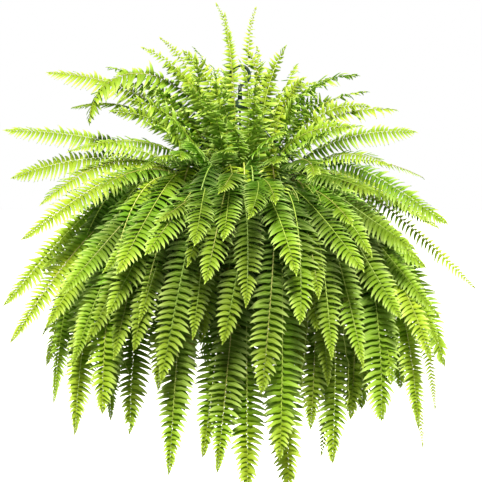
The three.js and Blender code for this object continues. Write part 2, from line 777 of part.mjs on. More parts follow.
// Soil ---------------------------------------------------------------------------------------
// It fills the pot, its top a little domed, with a plain hole for each crown.
function makeSoil(crowns) {
  const wallSlope = (pot.mouthRadius - innerFootRadius) / (pot.rimTop - 1 - innerFloor - 4);
  const insideAt = (height) => innerFootRadius + wallSlope * (height - innerFloor - 4) - gap;
  let soil = solidOf(
    turned(
      [
        [0, innerFloor + gap],
        [innerFootRadius - 4 - gap, innerFloor + gap],
        [insideAt(innerFloor + 4), innerFloor + 4 + gap],
        [insideAt(-4), -4],
        [60, 0],
        [0, 0.5],
      ],
      pot.sides,
    ),
  );
  for (const { x, y } of crowns) {
    const hole = upright(crown.radius + gap, crown.radius + gap, 2 * crown.depth + 2 * gap, crown.sides);
    soil = soil.subtract(solidOf(hole.translate(x, y, 0)));
  }
  return geometryOf(soil);
}

// Assembly -----------------------------------------------------------------------------------
const potPlastic = new THREE.MeshStandardMaterial({ color: "#2c4030", roughness: 0.45 });
const hangerPlastic = new THREE.MeshStandardMaterial({ color: "#1f3524", roughness: 0.4 });
const soilMix = new THREE.MeshStandardMaterial({ color: "#3a2b20", roughness: 1 });
const leafGreen = new THREE.MeshStandardMaterial({ color: "#7fb52e", roughness: 0.5 });

const fern = new THREE.Group();
fern.position.z = soilLevel;
function addMesh(name, geometry, material) {
  const mesh = new THREE.Mesh(geometry, material);
  mesh.name = name;
  fern.add(mesh);
}

const listed = [...uprightFronds, ...leftFronds, ...rightFronds, ...frontFronds];
const crowns = plantCrowns([...listed, ...layers.flatMap(layerTips)]);
const fronds = layOut(crowns);
placeStrands();
placeCrowns(crowns);
placeRibs(fronds);

addMesh("pot", makePot(), potPlastic);
addMesh("soil", makeSoil(crowns), soilMix);
addMesh("hanger_hook", makeHook(), hangerPlastic);
strandAngles.forEach((angle, i) => {
  addMesh(`hanger_strand_${i + 1}`, makeStrand(angle), hangerPlastic);
});

const draw = drawFrom(4711);
crowns.forEach((place, i) => {
  let cluster = makeCrown(place);
  fronds.forEach((entry, own) => {
    if (entry.place === place) cluster = cluster.add(solidOf(makeFrond(entry, own, draw)));
  });
  addMesh(`frond_cluster_${String(i + 1).padStart(2, "0")}`, geometryOf(cluster), leafGreen);
});

export default fern;
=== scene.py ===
# Sword fern in a hanging pot, dressed around its fixed model.
# Metres, +Z up, origin where the hook bears; growth is worked out in millimetres above the soil.
import math

import bpy
import numpy as np
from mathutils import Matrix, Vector


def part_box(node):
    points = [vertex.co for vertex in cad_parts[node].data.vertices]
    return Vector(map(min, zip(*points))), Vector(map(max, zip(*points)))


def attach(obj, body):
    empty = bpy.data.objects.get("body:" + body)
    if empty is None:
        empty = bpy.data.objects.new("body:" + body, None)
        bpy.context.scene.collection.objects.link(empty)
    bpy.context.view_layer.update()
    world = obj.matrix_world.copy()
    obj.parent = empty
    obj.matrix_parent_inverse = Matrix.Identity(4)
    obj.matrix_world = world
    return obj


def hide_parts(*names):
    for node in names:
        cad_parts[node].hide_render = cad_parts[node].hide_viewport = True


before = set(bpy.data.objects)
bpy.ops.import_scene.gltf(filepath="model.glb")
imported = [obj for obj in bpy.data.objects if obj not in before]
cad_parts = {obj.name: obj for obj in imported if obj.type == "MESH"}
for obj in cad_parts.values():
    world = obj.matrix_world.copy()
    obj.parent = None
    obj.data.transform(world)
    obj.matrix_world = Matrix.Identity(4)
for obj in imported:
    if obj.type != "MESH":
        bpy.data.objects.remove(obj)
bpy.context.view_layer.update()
mm = 0.001
rimAboveSoil = 12
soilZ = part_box("pot")[1].z - rimAboveSoil * mm
up = np.array([0.0, 0.0, 1.0])


def clearSelection():
    if bpy.context.object and bpy.context.object.mode != "OBJECT":
        bpy.ops.object.mode_set(mode="OBJECT")
    bpy.ops.object.select_all(action="DESELECT")


def pick(*pieces):
    clearSelection()
    for piece in pieces:
        piece.select_set(True)
    bpy.context.view_layer.objects.active = pieces[0]


# Adds a modifier to the active piece and applies it.
def modify(kind, **settings):
    bpy.ops.object.modifier_add(type=kind)
    modifier = bpy.context.object.modifiers[-1]
    for key, value in settings.items():
        setattr(modifier, key, value)
    bpy.ops.object.modifier_apply(modifier=modifier.name)


def editAll():
    bpy.ops.object.mode_set(mode="EDIT")
    bpy.ops.mesh.select_all(action="SELECT")


def turnOutwards():
    bpy.ops.mesh.select_all(action="SELECT")
    bpy.ops.mesh.normals_make_consistent(inside=False)
    bpy.ops.object.mode_set(mode="OBJECT")


view = {
    "lookAt": (0.0015, 0.0, -0.2505),
    "distance": 1.8,
    "elevation": 3.0,  # degrees
    "widthAtPlant": 0.699,
    "sensor": 36.0,
    "sees": 50,  # metres
}


def placeCamera():
    clearSelection()
    target = Vector(view["lookAt"])
    rise = math.radians(view["elevation"])
    away = Vector((0, -math.cos(rise), math.sin(rise))) * view["distance"]
    bpy.ops.object.camera_add(location=target + away, rotation=(math.pi / 2 - rise, 0, 0))
    camera = bpy.context.object
    camera.name = "camera"
    camera.data.sensor_width = view["sensor"]
    camera.data.lens = view["sensor"] * view["distance"] / view["widthAtPlant"]
    camera.data.clip_end = view["sees"]
    bpy.context.scene.camera = camera


placeCamera()
print("camera placed")

# Where the fronds end: right, back, up, lift of the arch, bow, from the crown's centre on the soil,
# and for slender ones their width as a share.
uprightFronds = [
    (-35, 40, 290, 15, 0.5), (-22, -20, 268, 12, 0.5), (24, 60, 288, 12, 0.5), (66, 0, 224, 12, 0.5),
    (-118, 60, 242, 15, 0.5), (-138, -30, 219, 18, 0.5), (-195, 30, 197, 30, 0.6),
    (-60, -60, 200, 8, 0.4), (32, -40, 195, 5, 0.5), (-90, 110, 195, 20, 0.5),
    (115, 90, 180, 20, 0.5), (85, -70, 172, 5, 0.4), (-12, 125, 205, 15, 0.5),
    (-150, -90, 142, 20, 0.55), (130, 20, 178, 15, 0.5), (-30, -95, 160, 5, 0.45),
    (40, -120, 132, 8, 0.5), (-95, -120, 118, 10, 0.55), (60, 130, 160, 20, 0.5),
    (-150, 120, 140, 30, 0.6), (150, -100, 105, 15, 0.55), (10, 30, 222, 5, 0.4),
    (-15, -150, 112, 12, 0.55), (60, -150, 95, 15, 0.55), (-55, -120, 148, 5, 0.45),
    (105, -60, 150, 8, 0.5), (-105, -30, 195, 12, 0.45), (25, 100, 235, 12, 0.5),
    (-70, 90, 232, 12, 0.45), (85, 70, 205, 15, 0.5), (150, -30, 140, 15, 0.55),
    (-168, 20, 175, 25, 0.55), (-130, -95, 112, 18, 0.55), (-80, -10, 215, 8, 0.4),
    (-45, 80, 205, 12, 0.45), (0, -30, 200, 5, 0.4), (50, 20, 200, 8, 0.45), (95, 30, 182, 12, 0.5),
    (140, 60, 150, 20, 0.55), (170, -60, 108, 20, 0.6), (120, -110, 100, 12, 0.55),
    (70, -110, 142, 5, 0.5), (15, -110, 150, 5, 0.45), (-35, -60, 182, 5, 0.4),
    (-75, -90, 158, 8, 0.45), (-120, -60, 160, 15, 0.5), (-180, -50, 128, 25, 0.6),
    (-10, -170, 70, 22, 0.6), (45, -175, 55, 25, 0.6), (-60, -165, 80, 18, 0.6),
    (-110, -150, 62, 22, 0.6), (0, 80, 190, 12, 0.45), (-140, 100, 165, 25, 0.55),
    (-215, -20, 112, 115, 1.0),
]
leftFronds = [
    (-285, 40, 190, 35, 0.6), (-258, 110, 142, 45, 0.62), (-340, 0, 104, 20, 0.6),
    (-236, -75, 72, 40, 0.65), (-335, 30, 35, 35, 0.65), (-272, -95, 0, 35, 0.68),
    (-295, -120, -48, 40, 0.62), (-335, -40, -145, 40, 0.62), (-315, -100, -190, 25, 0.6),
    (-295, 45, -200, 60, 0.75), (-262, -65, -280, 45, 0.88), (-228, -100, -318, 35, 0.9),
    (-195, 90, -270, 40, 0.95), (-300, 90, -80, 55, 0.7), (-240, -150, -120, 25, 0.6),
    (-282, -30, -95, 30, 0.6), (-262, -120, -165, 20, 0.65), (-225, -140, -215, 20, 0.75),
    (-285, 20, -240, 45, 0.8), (-205, -150, -185, 15, 0.7),
]
rightFronds = [
    (178, 70, 188, 40, 0.58), (185, 10, 160, 30, 0.6), (180, -55, 135, 35, 0.65),
    (232, 40, 135, 35, 0.6), (250, -20, 101, 25, 0.6), (205, -85, 52, 35, 0.7),
    (275, 65, 35, 40, 0.65, 0.6), (290, -60, -28, 40, 0.62), (298, 60, -40, 60, 0.7),
    (342, 0, -125, 50, 0.62, 0.55), (275, -90, -155, 30, 0.6), (288, 80, -170, 60, 0.75),
    (282, -40, -200, 40, 0.75), (292, 40, -312, 45, 0.88, 0.6), (252, -65, -318, 35, 0.92),
    (268, 0, -358, 35, 0.9, 0.55), (205, -140, -240, 20, 0.7), (212, -160, -148, 20, 0.5),
    (262, -50, -90, 35, 0.6), (262, -110, -215, 20, 0.75), (300, 10, -240, 45, 0.8),
    (235, -130, -60, 25, 0.55), (190, -150, -290, 25, 0.85),
]
frontFronds = [
    (12, -290, -12, 30, 0.6), (-42, -265, -92, 20, 0.62), (70, -265, -82, 22, 0.62),
    (76, -250, -145, 22, 0.7), (8, -245, -125, 10, 0.7), (-156, -215, -85, 15, 0.45),
    (-170, -205, -140, 20, 0.5), (-118, -235, -60, 18, 0.5), (-165, -180, -200, 15, 0.55),
    (-100, -225, -222, 20, 0.6), (-93, -190, -352, 30, 0.95), (-85, -130, -300, 30, 1.05),
    (-30, -170, -355, 15, 1.02), (10, -160, -392, 30, 1.05), (66, -155, -392, 25, 1.05),
    (28, -240, -235, 18, 0.8), (52, -205, -330, 30, 0.95), (100, -235, -115, 18, 0.55),
    (118, -215, -195, 20, 0.65), (160, -200, -208, 18, 0.5), (156, -230, -80, 15, 0.45),
    (125, -140, -350, 35, 0.98), (112, -110, -345, 25, 1.05, 0.6), (-20, -250, -40, 28, 0.6),
    (-55, -265, -45, 28, 0.6), (-75, -190, 60, 30, 0.65), (95, -200, 40, 35, 0.65),
    (-25, -235, 18, 30, 0.62), (45, -230, 5, 30, 0.65), (-130, -160, 45, 35, 0.65),
    (-105, -215, -20, 22, 0.55), (180, -140, 15, 30, 0.6), (145, -190, -24, 22, 0.55),
    (-190, -120, 20, 35, 0.65), (-60, -215, -170, 12, 0.75), (-130, -195, -150, 12, 0.55),
    (-50, -150, -340, 20, 1.02), (-5, -150, -285, 20, 1.05), (95, -150, -300, 20, 1.05),
    (-78, -165, -235, 18, 1.0), (150, -130, -290, 25, 1.0),
]
# Three more layers repeat their tiers (reach, up, lift, bow) over a part of the circle.
layers = {
    "far": {
        "count": 24,
        "firstAngle": 15,
        "spread": 150,
        "widen": 1.12,
        "tiers": [
            (262, -30, 50, 0.68), (232, -215, 40, 0.85), (205, -280, 35, 0.95), (250, -120, 45, 0.74),
            (190, -265, 35, 1.0),
        ],
    },
    "between": {
        "count": 16,
        "firstAngle": 178,
        "spread": 184,
        "widen": 1.15,
        "tiers": [(232, -90, 25, 0.62), (222, -180, 20, 0.78), (205, -255, 22, 0.92)],
    },
    "under": {
        "count": 17,
        "firstAngle": 170,
        "spread": 200,
        "widen": 1.1,
        "tiers": [(178, -195, 15, 0.95), (170, -240, 15, 1.0), (164, -290, 18, 1.05)],
    },
}
crownRings = [(16, 4), (38, 8), (60, 12), (81, 15)]  # radius and how many crowns
crownBears = 5  # fronds each
crownSize = {"radius": 9, "height": 12}
rib = {
    "stalkShare": 0.15,
    "pairLength": 57,  # of the plain model, which the ribs' clearance is worked out on
    "halfWidth": 29,
    "clear": 5,
    "faceTurn": 0.8,
    "sweep": 26,  # most sideways bend of a rib that is in no other's way
    "bends": [0, 9, -9, 18, -18, 27, -27, 36, -36, 45, -45],  # tried beyond that
    "raises": [0, 8, 16, 24, 32],
    "nearby": 40,  # others further off are left out
    "potGap": 2.5,
}
hangerLine = {
    "strands": 3,
    "firstAngle": math.pi / 2,
    "thickness": 3,
    "rimCircle": 120.5,
    "hubRadius": 8,
    "hubBottom": 134,
    "hubTop": 148,
    "hookThickness": 4.6,
    "loopRadius": 13.7,
}
potShape = {
    "rimRadius": 127,
    "rimTop": rimAboveSoil,
    "skirtDrop": 15,
    "height": 185,
    "footRadius": 85,
    "mouthRadius": 113.5,
    "mouthOutside": 115.5,
}
barRadius = hangerLine["hookThickness"] / 2
loopTop = -soilZ / mm + barRadius


def smooth(share):
    u = np.clip(share, 0, 1)
    return u * u * (3 - 2 * u)


# From 0 at the start to 1 a span further on; a negative span runs downwards.
def ease(value, start, span):
    return smooth((value - start) / span)


def drawFrom(seed):
    value = seed
    while True:
        value = value * 16807 % 2147483647
        yield value / 2147483647


# A size between the least and so much more, at random.
def vary(size, draw):
    least, more = size
    return least + more * next(draw)


def unit(vectors):
    return vectors / np.linalg.norm(vectors, axis=-1, keepdims=True)


def polar(reach, angle):
    return reach * math.cos(angle), reach * math.sin(angle)


def heading(angle):
    return np.array([*polar(1, angle), 0.0])


def layerTips(layer):
    tips = []
    for i in range(layer["count"]):
        angle = math.radians(layer["firstAngle"] + layer["spread"] * (i * 0.618034 % 1))
        reach, rise, lift, bow = layer["tiers"][i % len(layer["tiers"])]
        wander = math.sin(i * 2.3)
        tips.append((
            reach * math.cos(angle) * layer["widen"] + 8 * wander,
            reach * math.sin(angle) + 10 * wander,
            rise + 25 * wander,
            lift * (1 + 0.2 * wander),
            bow,
        ))
    return tips


def turnOf(x, y):
    return (math.atan2(y, x) + 2 * math.pi) % (2 * math.pi)


# High fronds grow from the inner crowns, low ones from the outer.
def plantCrowns(tips):
    order = sorted(tips, key=lambda tip: -tip[2] - 1.5 * tip[3])
    crowns = []
    for radius, count in crownRings:
        members, order = order[:count * crownBears], order[count * crownBears:]
        members.sort(key=lambda tip: turnOf(tip[0], tip[1]))
        groups = [members[i:i + crownBears] for i in range(0, len(members), crownBears)]
        step = 2 * math.pi / len(groups)
        leads = [
            turnOf(sum(tip[0] for tip in group), sum(tip[1] for tip in group)) - i * step
            for i, group in enumerate(groups)
        ]
        phase = math.atan2(sum(map(math.sin, leads)), sum(map(math.cos, leads)))
        for i, group in enumerate(groups):
            x, y = polar(radius, phase + i * step)
            crowns.append({"x": x, "y": y, "tips": group})
    return crowns


# A Bezier rib with its length table.
def ribCurve(crown, tip, sweep, extra):
    x, y, z, ownLift, bow = tip[:5]
    lift = ownLift + extra
    root = np.array([crown["x"], crown["y"], 3.0])
    outward = np.array([x - crown["x"], y - crown["y"], 0.0])
    reach = np.linalg.norm(outward)
    outward /= reach
    side = np.array([-outward[1], outward[0], 0.0])
    above, below = max(z, 0), max(-z, 0)
    rise = root + outward * 0.2 * reach + side * 0.4 * sweep
    rise[2] = 0.42 * above + 1.55 * lift + 0.1 * below
    sideways = smooth(0.2 + (abs(x) - abs(y)) / 150)
    hanging = max(ease(below, 100, 220), 1 - sideways, ease(bow, 0.65, 0.25))
    hungZ = 0.78 * above + 1.15 * lift
    straightZ = z + (1 - bow) * reach * (0.6 + below / 300)
    fall = root + outward * bow * reach + side * sweep
    fall[2] = straightZ + (hungZ - straightZ) * hanging if z < 0 else hungZ
    knots = np.array([root, rise, fall, [x, y, z]])
    steps = np.linspace(0, 1, 201)
    line = bezierPoint(knots, steps)
    lengths = np.concatenate([[0], np.cumsum(np.linalg.norm(np.diff(line, axis=0), axis=1))])
    return {"knots": knots, "steps": steps, "lengths": lengths, "length": lengths[-1]}


def bezierPoint(knots, t):
    t = np.asarray(t)[:, None]
    u = 1 - t
    return u**3 * knots[0] + 3 * u * u * t * knots[1] + 3 * u * t * t * knots[2] + t**3 * knots[3]


def atShare(curve, shares):
    return np.interp(np.asarray(shares) * curve["length"], curve["lengths"], curve["steps"])


def pointsOn(curve, shares):
    return bezierPoint(curve["knots"], atShare(curve, shares))


def tangentsOn(curve, shares):
    t = atShare(curve, shares)
    ahead = bezierPoint(curve["knots"], np.minimum(t + 1e-4, 1))
    return unit(ahead - bezierPoint(curve["knots"], np.maximum(t - 1e-4, 0)))


def ribPoints(curve):
    leafy = 1 - rib["stalkShare"]
    pairs = max(4, math.floor(curve["length"] * leafy / rib["pairLength"] + 0.5))
    shares = [0] + [rib["stalkShare"] + leafy * i / (pairs + 0.6) for i in range(pairs + 1)] + [1]
    knots = pointsOn(curve, shares)
    points = []
    for start, stop in zip(knots, knots[1:]):
        steps = max(1, math.ceil(np.linalg.norm(stop - start) / 5))
        points += [start + (stop - start) * (k + 1) / steps for k in range(steps)]
    return np.array(points)


strandAngles = [
    hangerLine["firstAngle"] + 2 * math.pi * i / hangerLine["strands"]
    for i in range(hangerLine["strands"])
]


# The strand's bends: radius and height.
def strandKnots(angle):
    rim = hangerLine["rimCircle"]
    bends = [
        (hangerLine["hubRadius"] + hangerLine["thickness"] / 2 + 0.4, hangerLine["hubBottom"] + 3),
        (rim * 0.45, hangerLine["hubBottom"] * 0.66),
        (rim * 0.94, potShape["rimTop"] + 20),
        (rim, potShape["rimTop"] + 7),
        (rim, potShape["rimTop"] + 1),
        (rim, potShape["rimTop"] - 5.4),
    ]
    return np.array([(*polar(reach, angle), height) for reach, height in bends])


# Centripetal Catmull-Rom through the bends.
def throughKnots(knots, perSpan):
    ends = np.vstack([2 * knots[0] - knots[1], knots, 2 * knots[-1] - knots[-2]])
    points = []
    for i in range(1, len(ends) - 2):
        p0, p1, p2, p3 = ends[i - 1:i + 3]
        gaps = [max(np.linalg.norm(b - a) ** 0.5, 1e-4) for a, b in ((p0, p1), (p1, p2), (p2, p3))]
        m1 = ((p1 - p0) / gaps[0] - (p2 - p0) / (gaps[0] + gaps[1]) + (p2 - p1) / gaps[1]) * gaps[1]
        m2 = ((p2 - p1) / gaps[1] - (p3 - p1) / (gaps[1] + gaps[2]) + (p3 - p2) / gaps[2]) * gaps[1]
        for k in range(perSpan + (i == len(ends) - 3)):
            t = k / perSpan
            points.append(
                (2 * t**3 - 3 * t**2 + 1) * p1 + (t**3 - 2 * t**2 + t) * m1
                + (3 * t**2 - 2 * t**3) * p2 + (t**3 - t**2) * m2
            )
    return np.array(points)


# Lines' points in one array, each with how stout its line is.
def gather(lines):
    if not lines:
        return np.empty((0, 3)), np.empty(0)
    stout = np.concatenate([np.full(len(line), width) for line, width in lines])
    return np.vstack([line for line, _ in lines]), stout


# Least room between a rib and the gathered points near it.
def roomAmong(points, gathered):
    others, stout = gathered
    low, high = points.min(axis=0) - rib["nearby"], points.max(axis=0) + rib["nearby"]
    near = ((others > low) & (others < high)).all(axis=1)
    if not near.any():
        return math.inf
    apart = np.linalg.norm(points[:, None, :] - others[None, near, :], axis=2)
    return (apart.min(axis=0) - stout[near]).min()


# Radius of the pot's tapering wall, outside.
def wallAt(z):
    share = (z - potShape["rimTop"] + potShape["height"]) / potShape["height"]
    return potShape["footRadius"] + (potShape["mouthOutside"] - potShape["footRadius"]) * share


# Radius of the pot's outside at each height, zero above and below it.
def potReach(z, margin):
    reach = wallAt(z) + margin
    skirt = potShape["rimTop"] - potShape["skirtDrop"]
    reach = np.where(z > skirt - margin, potShape["rimRadius"] + margin, reach)
    low = potShape["rimTop"] - potShape["height"] - margin
    return np.where((z > potShape["rimTop"] + margin) | (z < low), 0, reach)


def hitsPot(points):
    reach = np.hypot(points[:, 0], points[:, 1])
    within = reach < potShape["mouthRadius"] - 3
    beside = reach < potReach(points[:, 2], rib["potGap"])
    return bool(np.where(within, points[:, 2] < 1, beside).any())


# Every rib is swept sideways until it is clear of the pot and of those placed before it, then raised.
def layOut(crowns):
    tries = [(sweep, extra) for extra in rib["raises"] for sweep in rib["bends"]]
    hook = [(0, 0, z) for z in np.linspace(hangerLine["hubBottom"], loopTop - barRadius, 13)]
    placed = [(throughKnots(strandKnots(angle), 12), 0, None) for angle in strandAngles]
    placed.append((np.array(hook), hangerLine["loopRadius"], None))
    for number, crown in enumerate(crowns):
        heights = (0, crownSize["height"] / 2, crownSize["height"])
        stem = [(crown["x"], crown["y"], z) for z in heights]
        placed.append((np.array(stem), crownSize["radius"], number))
    fronds = []
    for number, crown in enumerate(crowns):
        for tip in crown["tips"]:
            others = gather([(line, stout) for line, stout, owner in placed if owner != number])
            siblings = [line[6:] for line, stout, owner in placed if owner == number and not stout]
            siblings = gather([(line, -2) for line in siblings])
            best = None
            ownSweep = rib["sweep"] * math.sin(len(fronds) * 2.3)
            for sweep, extra in tries:
                curve = ribCurve(crown, tip, ownSweep + sweep, extra)
                line = ribPoints(curve)
                room = -1
                if not hitsPot(line):
                    room = min(roomAmong(line, others), roomAmong(line[6:], siblings))
                if best is None or room > best["room"]:
                    best = {"curve": curve, "room": room, "line": line, "crown": crown, "tip": tip}
                if room >= rib["clear"]:
                    break
            placed.append((best["line"], 0, number))
            fronds.append(best)
    return fronds


allTips = uprightFronds + leftFronds + rightFronds + frontFronds
for layer in layers.values():
    allTips += layerTips(layer)
print(f"{len(allTips)} fronds, of {crownBears * sum(count for _, count in crownRings)}")
crowns = plantCrowns(allTips)
fronds = layOut(crowns)
tight = sum(entry["room"] < rib["clear"] for entry in fronds)
print(f"laid out {len(fronds)} fronds on {len(crowns)} crowns, {tight} of them tight")


# Nodes are added with their settings and inputs, by number or name; an input is a value or a socket.
class Nodes:
    def __init__(self, tree):
        self.tree = tree
        tree.nodes.clear()

    def feed(self, socket, value):
        if isinstance(value, bpy.types.NodeSocket):
            self.tree.links.new(value, socket)
        else:
            socket.default_value = value

    def add(self, kind, **settings):
        node = self.tree.nodes.new(kind)
        inputs = settings.pop("inputs", {})
        for key, value in settings.items():
            setattr(node, key, value)
        for key, value in inputs.items():
            self.feed(node.inputs[key], value)
        return node

    def math(self, operation, a, b=0.0, clamp=False):
        node = self.add("ShaderNodeMath", operation=operation, use_clamp=clamp, inputs={0: a, 1: b})
        return node.outputs[0]

    def plus(self, a, b, clamp=False):
        return self.math("ADD", a, b, clamp)

    def minus(self, a, b, clamp=False):
        return self.math("SUBTRACT", a, b, clamp)

    def times(self, a, b, clamp=False):
        return self.math("MULTIPLY", a, b, clamp)

    def mix(self, share, a, b, blend="MIX"):
        node = self.add("ShaderNodeMix", data_type="RGBA", blend_type=blend, inputs={0: share})
        for socket, color in ((node.inputs[6], a), (node.inputs[7], b)):
            self.feed(socket, (*color, 1) if isinstance(color, tuple) else color)
        return node.outputs[2]

    def ramp(self, value, stops, color=True):
        node = self.add("ShaderNodeValToRGB", inputs={0: value})
        ramp = node.color_ramp
        while len(ramp.elements) < len(stops):
            ramp.elements.new(0.5)
        for element, (place, tint) in zip(ramp.elements, stops):
            element.position = place
            element.color = (*tint, 1) if color else (tint, tint, tint, 1)
        return node.outputs[0]

    def noise(self, scale, detail=3.0, vector=None):
        place = vector or self.add("ShaderNodeTexCoord").outputs["Object"]
        inputs = {"Vector": place, "Scale": scale, "Detail": detail}
        return self.add("ShaderNodeTexNoise", inputs=inputs).outputs[0]

    def attribute(self, name):
        value = self.add("ShaderNodeAttribute", attribute_name=name).outputs["Vector"]
        return self.add("ShaderNodeSeparateXYZ", inputs={0: value}).outputs[:3]

    def bump(self, strength, distance, height):
        inputs = {"Strength": strength, "Distance": distance, "Height": height}
        return self.add("ShaderNodeBump", inputs=inputs).outputs[0]

    def surface(self, color, roughness, normal=None, specular=0.5):
        inputs = {"Base Color": color, "Roughness": roughness, "Specular IOR Level": specular}
        if normal is not None:
            inputs["Normal"] = normal
        return self.add("ShaderNodeBsdfPrincipled", inputs=inputs).outputs[0]

    def finish(self, shader, kind="ShaderNodeOutputMaterial"):
        self.add(kind, inputs={0: shader})

    def give(self, values):
        outs = self.add("NodeGroupOutput")
        for label, value in values.items():
            self.tree.links.new(value, outs.inputs[label])


def newMaterial(name):
    material = bpy.data.materials.new(name)
    material.use_nodes = True
    return material, Nodes(material.node_tree)


def newGroup(name, inputs, outputs):
    group = bpy.data.node_groups.new(name, "ShaderNodeTree")
    for label, value in inputs.items():
        socket = group.interface.new_socket(label, in_out="INPUT", socket_type="NodeSocketFloat")
        socket.default_value = value
    for label, kind in outputs.items():
        group.interface.new_socket(label, in_out="OUTPUT", socket_type=f"NodeSocket{kind}")
    return group, Nodes(group)


leafLook = {
    "young": (0.575, 0.765, 0.022),
    "grown": (0.172, 0.46, 0.004),
    # the oldest leaflets' colour, which also serves as painted shade deep inside the plant
    "oldAndShaded": (0.006, 0.064, 0.001),
    "point": (0.92, 1.0, 0.44),  # the leaflets' pale points: painted light, as if glowing through the tips
    "pointReach": 3.4,  # the higher, the shorter they are
    "faded": (0.30, 0.25, 0.04),
    "midrib": (0.40, 0.50, 0.12),
    "under": (0.24, 0.42, 0.06),
    "sori": (0.16, 0.10, 0.035),
    "through": (0.32, 0.71, 0.006),
    "tones": [(0.0, (0.72, 0.78, 0.7)), (0.5, (1, 1, 1)), (1.0, (1.32, 1.2, 1.1))],
    "outward": [(0.0, 0.46), (0.5, 0.74), (0.85, 1.08)],  # painted shade: darker at the leaflet's base, by the rib among its neighbours
    "tipward": 0.75,  # how young the frond's end is
    "patches": (38.0, 4.0),  # scale and detail of the uneven age
    "uneven": 0.5,
    "pointShare": (0.98, 0.45),  # how much painted light the points get on a young leaflet, and how much less on an old one
    "fadedFrom": 1.5,  # tone
    "fadedShare": 0.85,
    "midribSharp": 16.0,
    "veinSharp": 6.0,
    "shares": {"midrib": 0.6, "veins": 0.16, "under": 0.45},  # of their colour in the leaf's
    "heights": {"midrib": -0.6, "veins": -0.25},
    "veins": 150.0,  # radians along a leaflet
    "veinSlant": -70.0,
    "soriRow": 0.3,  # off the midrib, in widths
    "soriSpacing": 44.0,  # radians along a leaflet
    "soriFrom": 0.55,
    "soriNarrow": 6.0,
    "soriSharp": 5.0,
    "ripeAge": 0.62,
    "translucency": 0.38,
    "throughShare": 0.6,
    "bump": (0.35, 0.0004),  # strength, and height in metres
    "roughness": (0.5, 0.2),  # least, and how much more in patches
    "specular": 0.13,
}


# Leaf colour from the leaflet's own map (across, along, underside) and growth (tone, age with painted
# shade added, share).
def leafPatternGroup():
    outputs = {"Color": "Color", "Through": "Color", "Height": "Float", "Roughness": "Float"}
    group, nodes = newGroup("leafPattern", {"Vein depth": 1.0}, outputs)
    veinDepth = nodes.add("NodeGroupInput").outputs[0]
    across, along, under = nodes.attribute("leafMap")
    tone, ageAndShade, share = nodes.attribute("growth")
    patch = nodes.noise(*leafLook["patches"])
    uneven = nodes.plus(ageAndShade, nodes.times(nodes.minus(patch, 0.5), leafLook["uneven"]))
    ages = [(0.0, leafLook["young"]), (0.5, leafLook["grown"]), (1.0, leafLook["oldAndShaded"])]
    base = nodes.ramp(uneven, ages)
    base = nodes.mix(1.0, base, nodes.ramp(tone, leafLook["tones"]), "MULTIPLY")
    tipward = nodes.times(nodes.math("POWER", share, 3.0), leafLook["tipward"])
    base = nodes.mix(tipward, base, leafLook["young"])
    # Painted shade: darker towards each leaflet's base.
    base = nodes.mix(1.0, base, nodes.ramp(along, leafLook["outward"], color=False), "MULTIPLY")
    # Painted light: pale points towards the leaflets' tips, as if the light glowed through them.
    point = nodes.math("POWER", along, leafLook["pointReach"])
    pale, less = leafLook["pointShare"]
    point = nodes.times(point, nodes.minus(pale, nodes.times(ageAndShade, less)))
    base = nodes.mix(point, base, leafLook["point"])
    fade = nodes.math("GREATER_THAN", tone, leafLook["fadedFrom"])
    base = nodes.mix(nodes.times(fade, leafLook["fadedShare"]), base, leafLook["faded"])
    off = nodes.math("ABSOLUTE", nodes.minus(across, 0.5))
    midrib = nodes.minus(1.0, nodes.times(off, leafLook["midribSharp"]), clamp=True)
    slant = nodes.plus(nodes.times(along, leafLook["veins"]), nodes.times(off, leafLook["veinSlant"]))
    veins = nodes.math("ABSOLUTE", nodes.math("SINE", slant))
    veins = nodes.math("POWER", veins, leafLook["veinSharp"])
    shares, heights = leafLook["shares"], leafLook["heights"]
    base = nodes.mix(nodes.times(midrib, shares["midrib"]), base, leafLook["midrib"])
    base = nodes.mix(nodes.times(veins, shares["veins"]), base, leafLook["midrib"])
    base = nodes.mix(nodes.times(under, shares["under"]), base, leafLook["under"])
    row = nodes.math("ABSOLUTE", nodes.minus(off, leafLook["soriRow"]))
    dots = nodes.math("ABSOLUTE", nodes.math("SINE", nodes.times(along, leafLook["soriSpacing"])))
    dots = nodes.minus(dots, leafLook["soriFrom"])
    dot = nodes.minus(dots, nodes.times(row, leafLook["soriNarrow"]))
    dot = nodes.times(dot, leafLook["soriSharp"], clamp=True)
    ripe = nodes.times(nodes.math("GREATER_THAN", ageAndShade, leafLook["ripeAge"]), under)
    dot = nodes.times(dot, ripe)
    base = nodes.mix(dot, base, leafLook["sori"])
    through = nodes.mix(leafLook["throughShare"], base, leafLook["through"])
    through = nodes.mix(dot, through, leafLook["sori"])
    sunk = nodes.times(midrib, heights["midrib"])
    height = nodes.plus(sunk, nodes.times(veins, heights["veins"]))
    height = nodes.times(nodes.plus(height, dot), veinDepth)
    least, more = leafLook["roughness"]
    rough = nodes.plus(least, nodes.times(patch, more))
    nodes.give({"Color": base, "Through": through, "Height": height, "Roughness": rough})
    return group


def leafMaterial(pattern):
    material, nodes = newMaterial("fernLeaf")
    look = nodes.add("ShaderNodeGroup", node_tree=pattern, inputs={0: 1.0})
    color, through, height, rough = look.outputs
    bump = nodes.bump(*leafLook["bump"], height)
    surface = nodes.surface(color, rough, bump, leafLook["specular"])
    glow = nodes.add("ShaderNodeBsdfTranslucent", inputs={"Color": through, "Normal": bump})
    both = nodes.add("ShaderNodeMixShader", inputs={
        0: leafLook["translucency"], 1: surface, 2: glow.outputs[0],
    })
    nodes.finish(both.outputs[0])
    return material


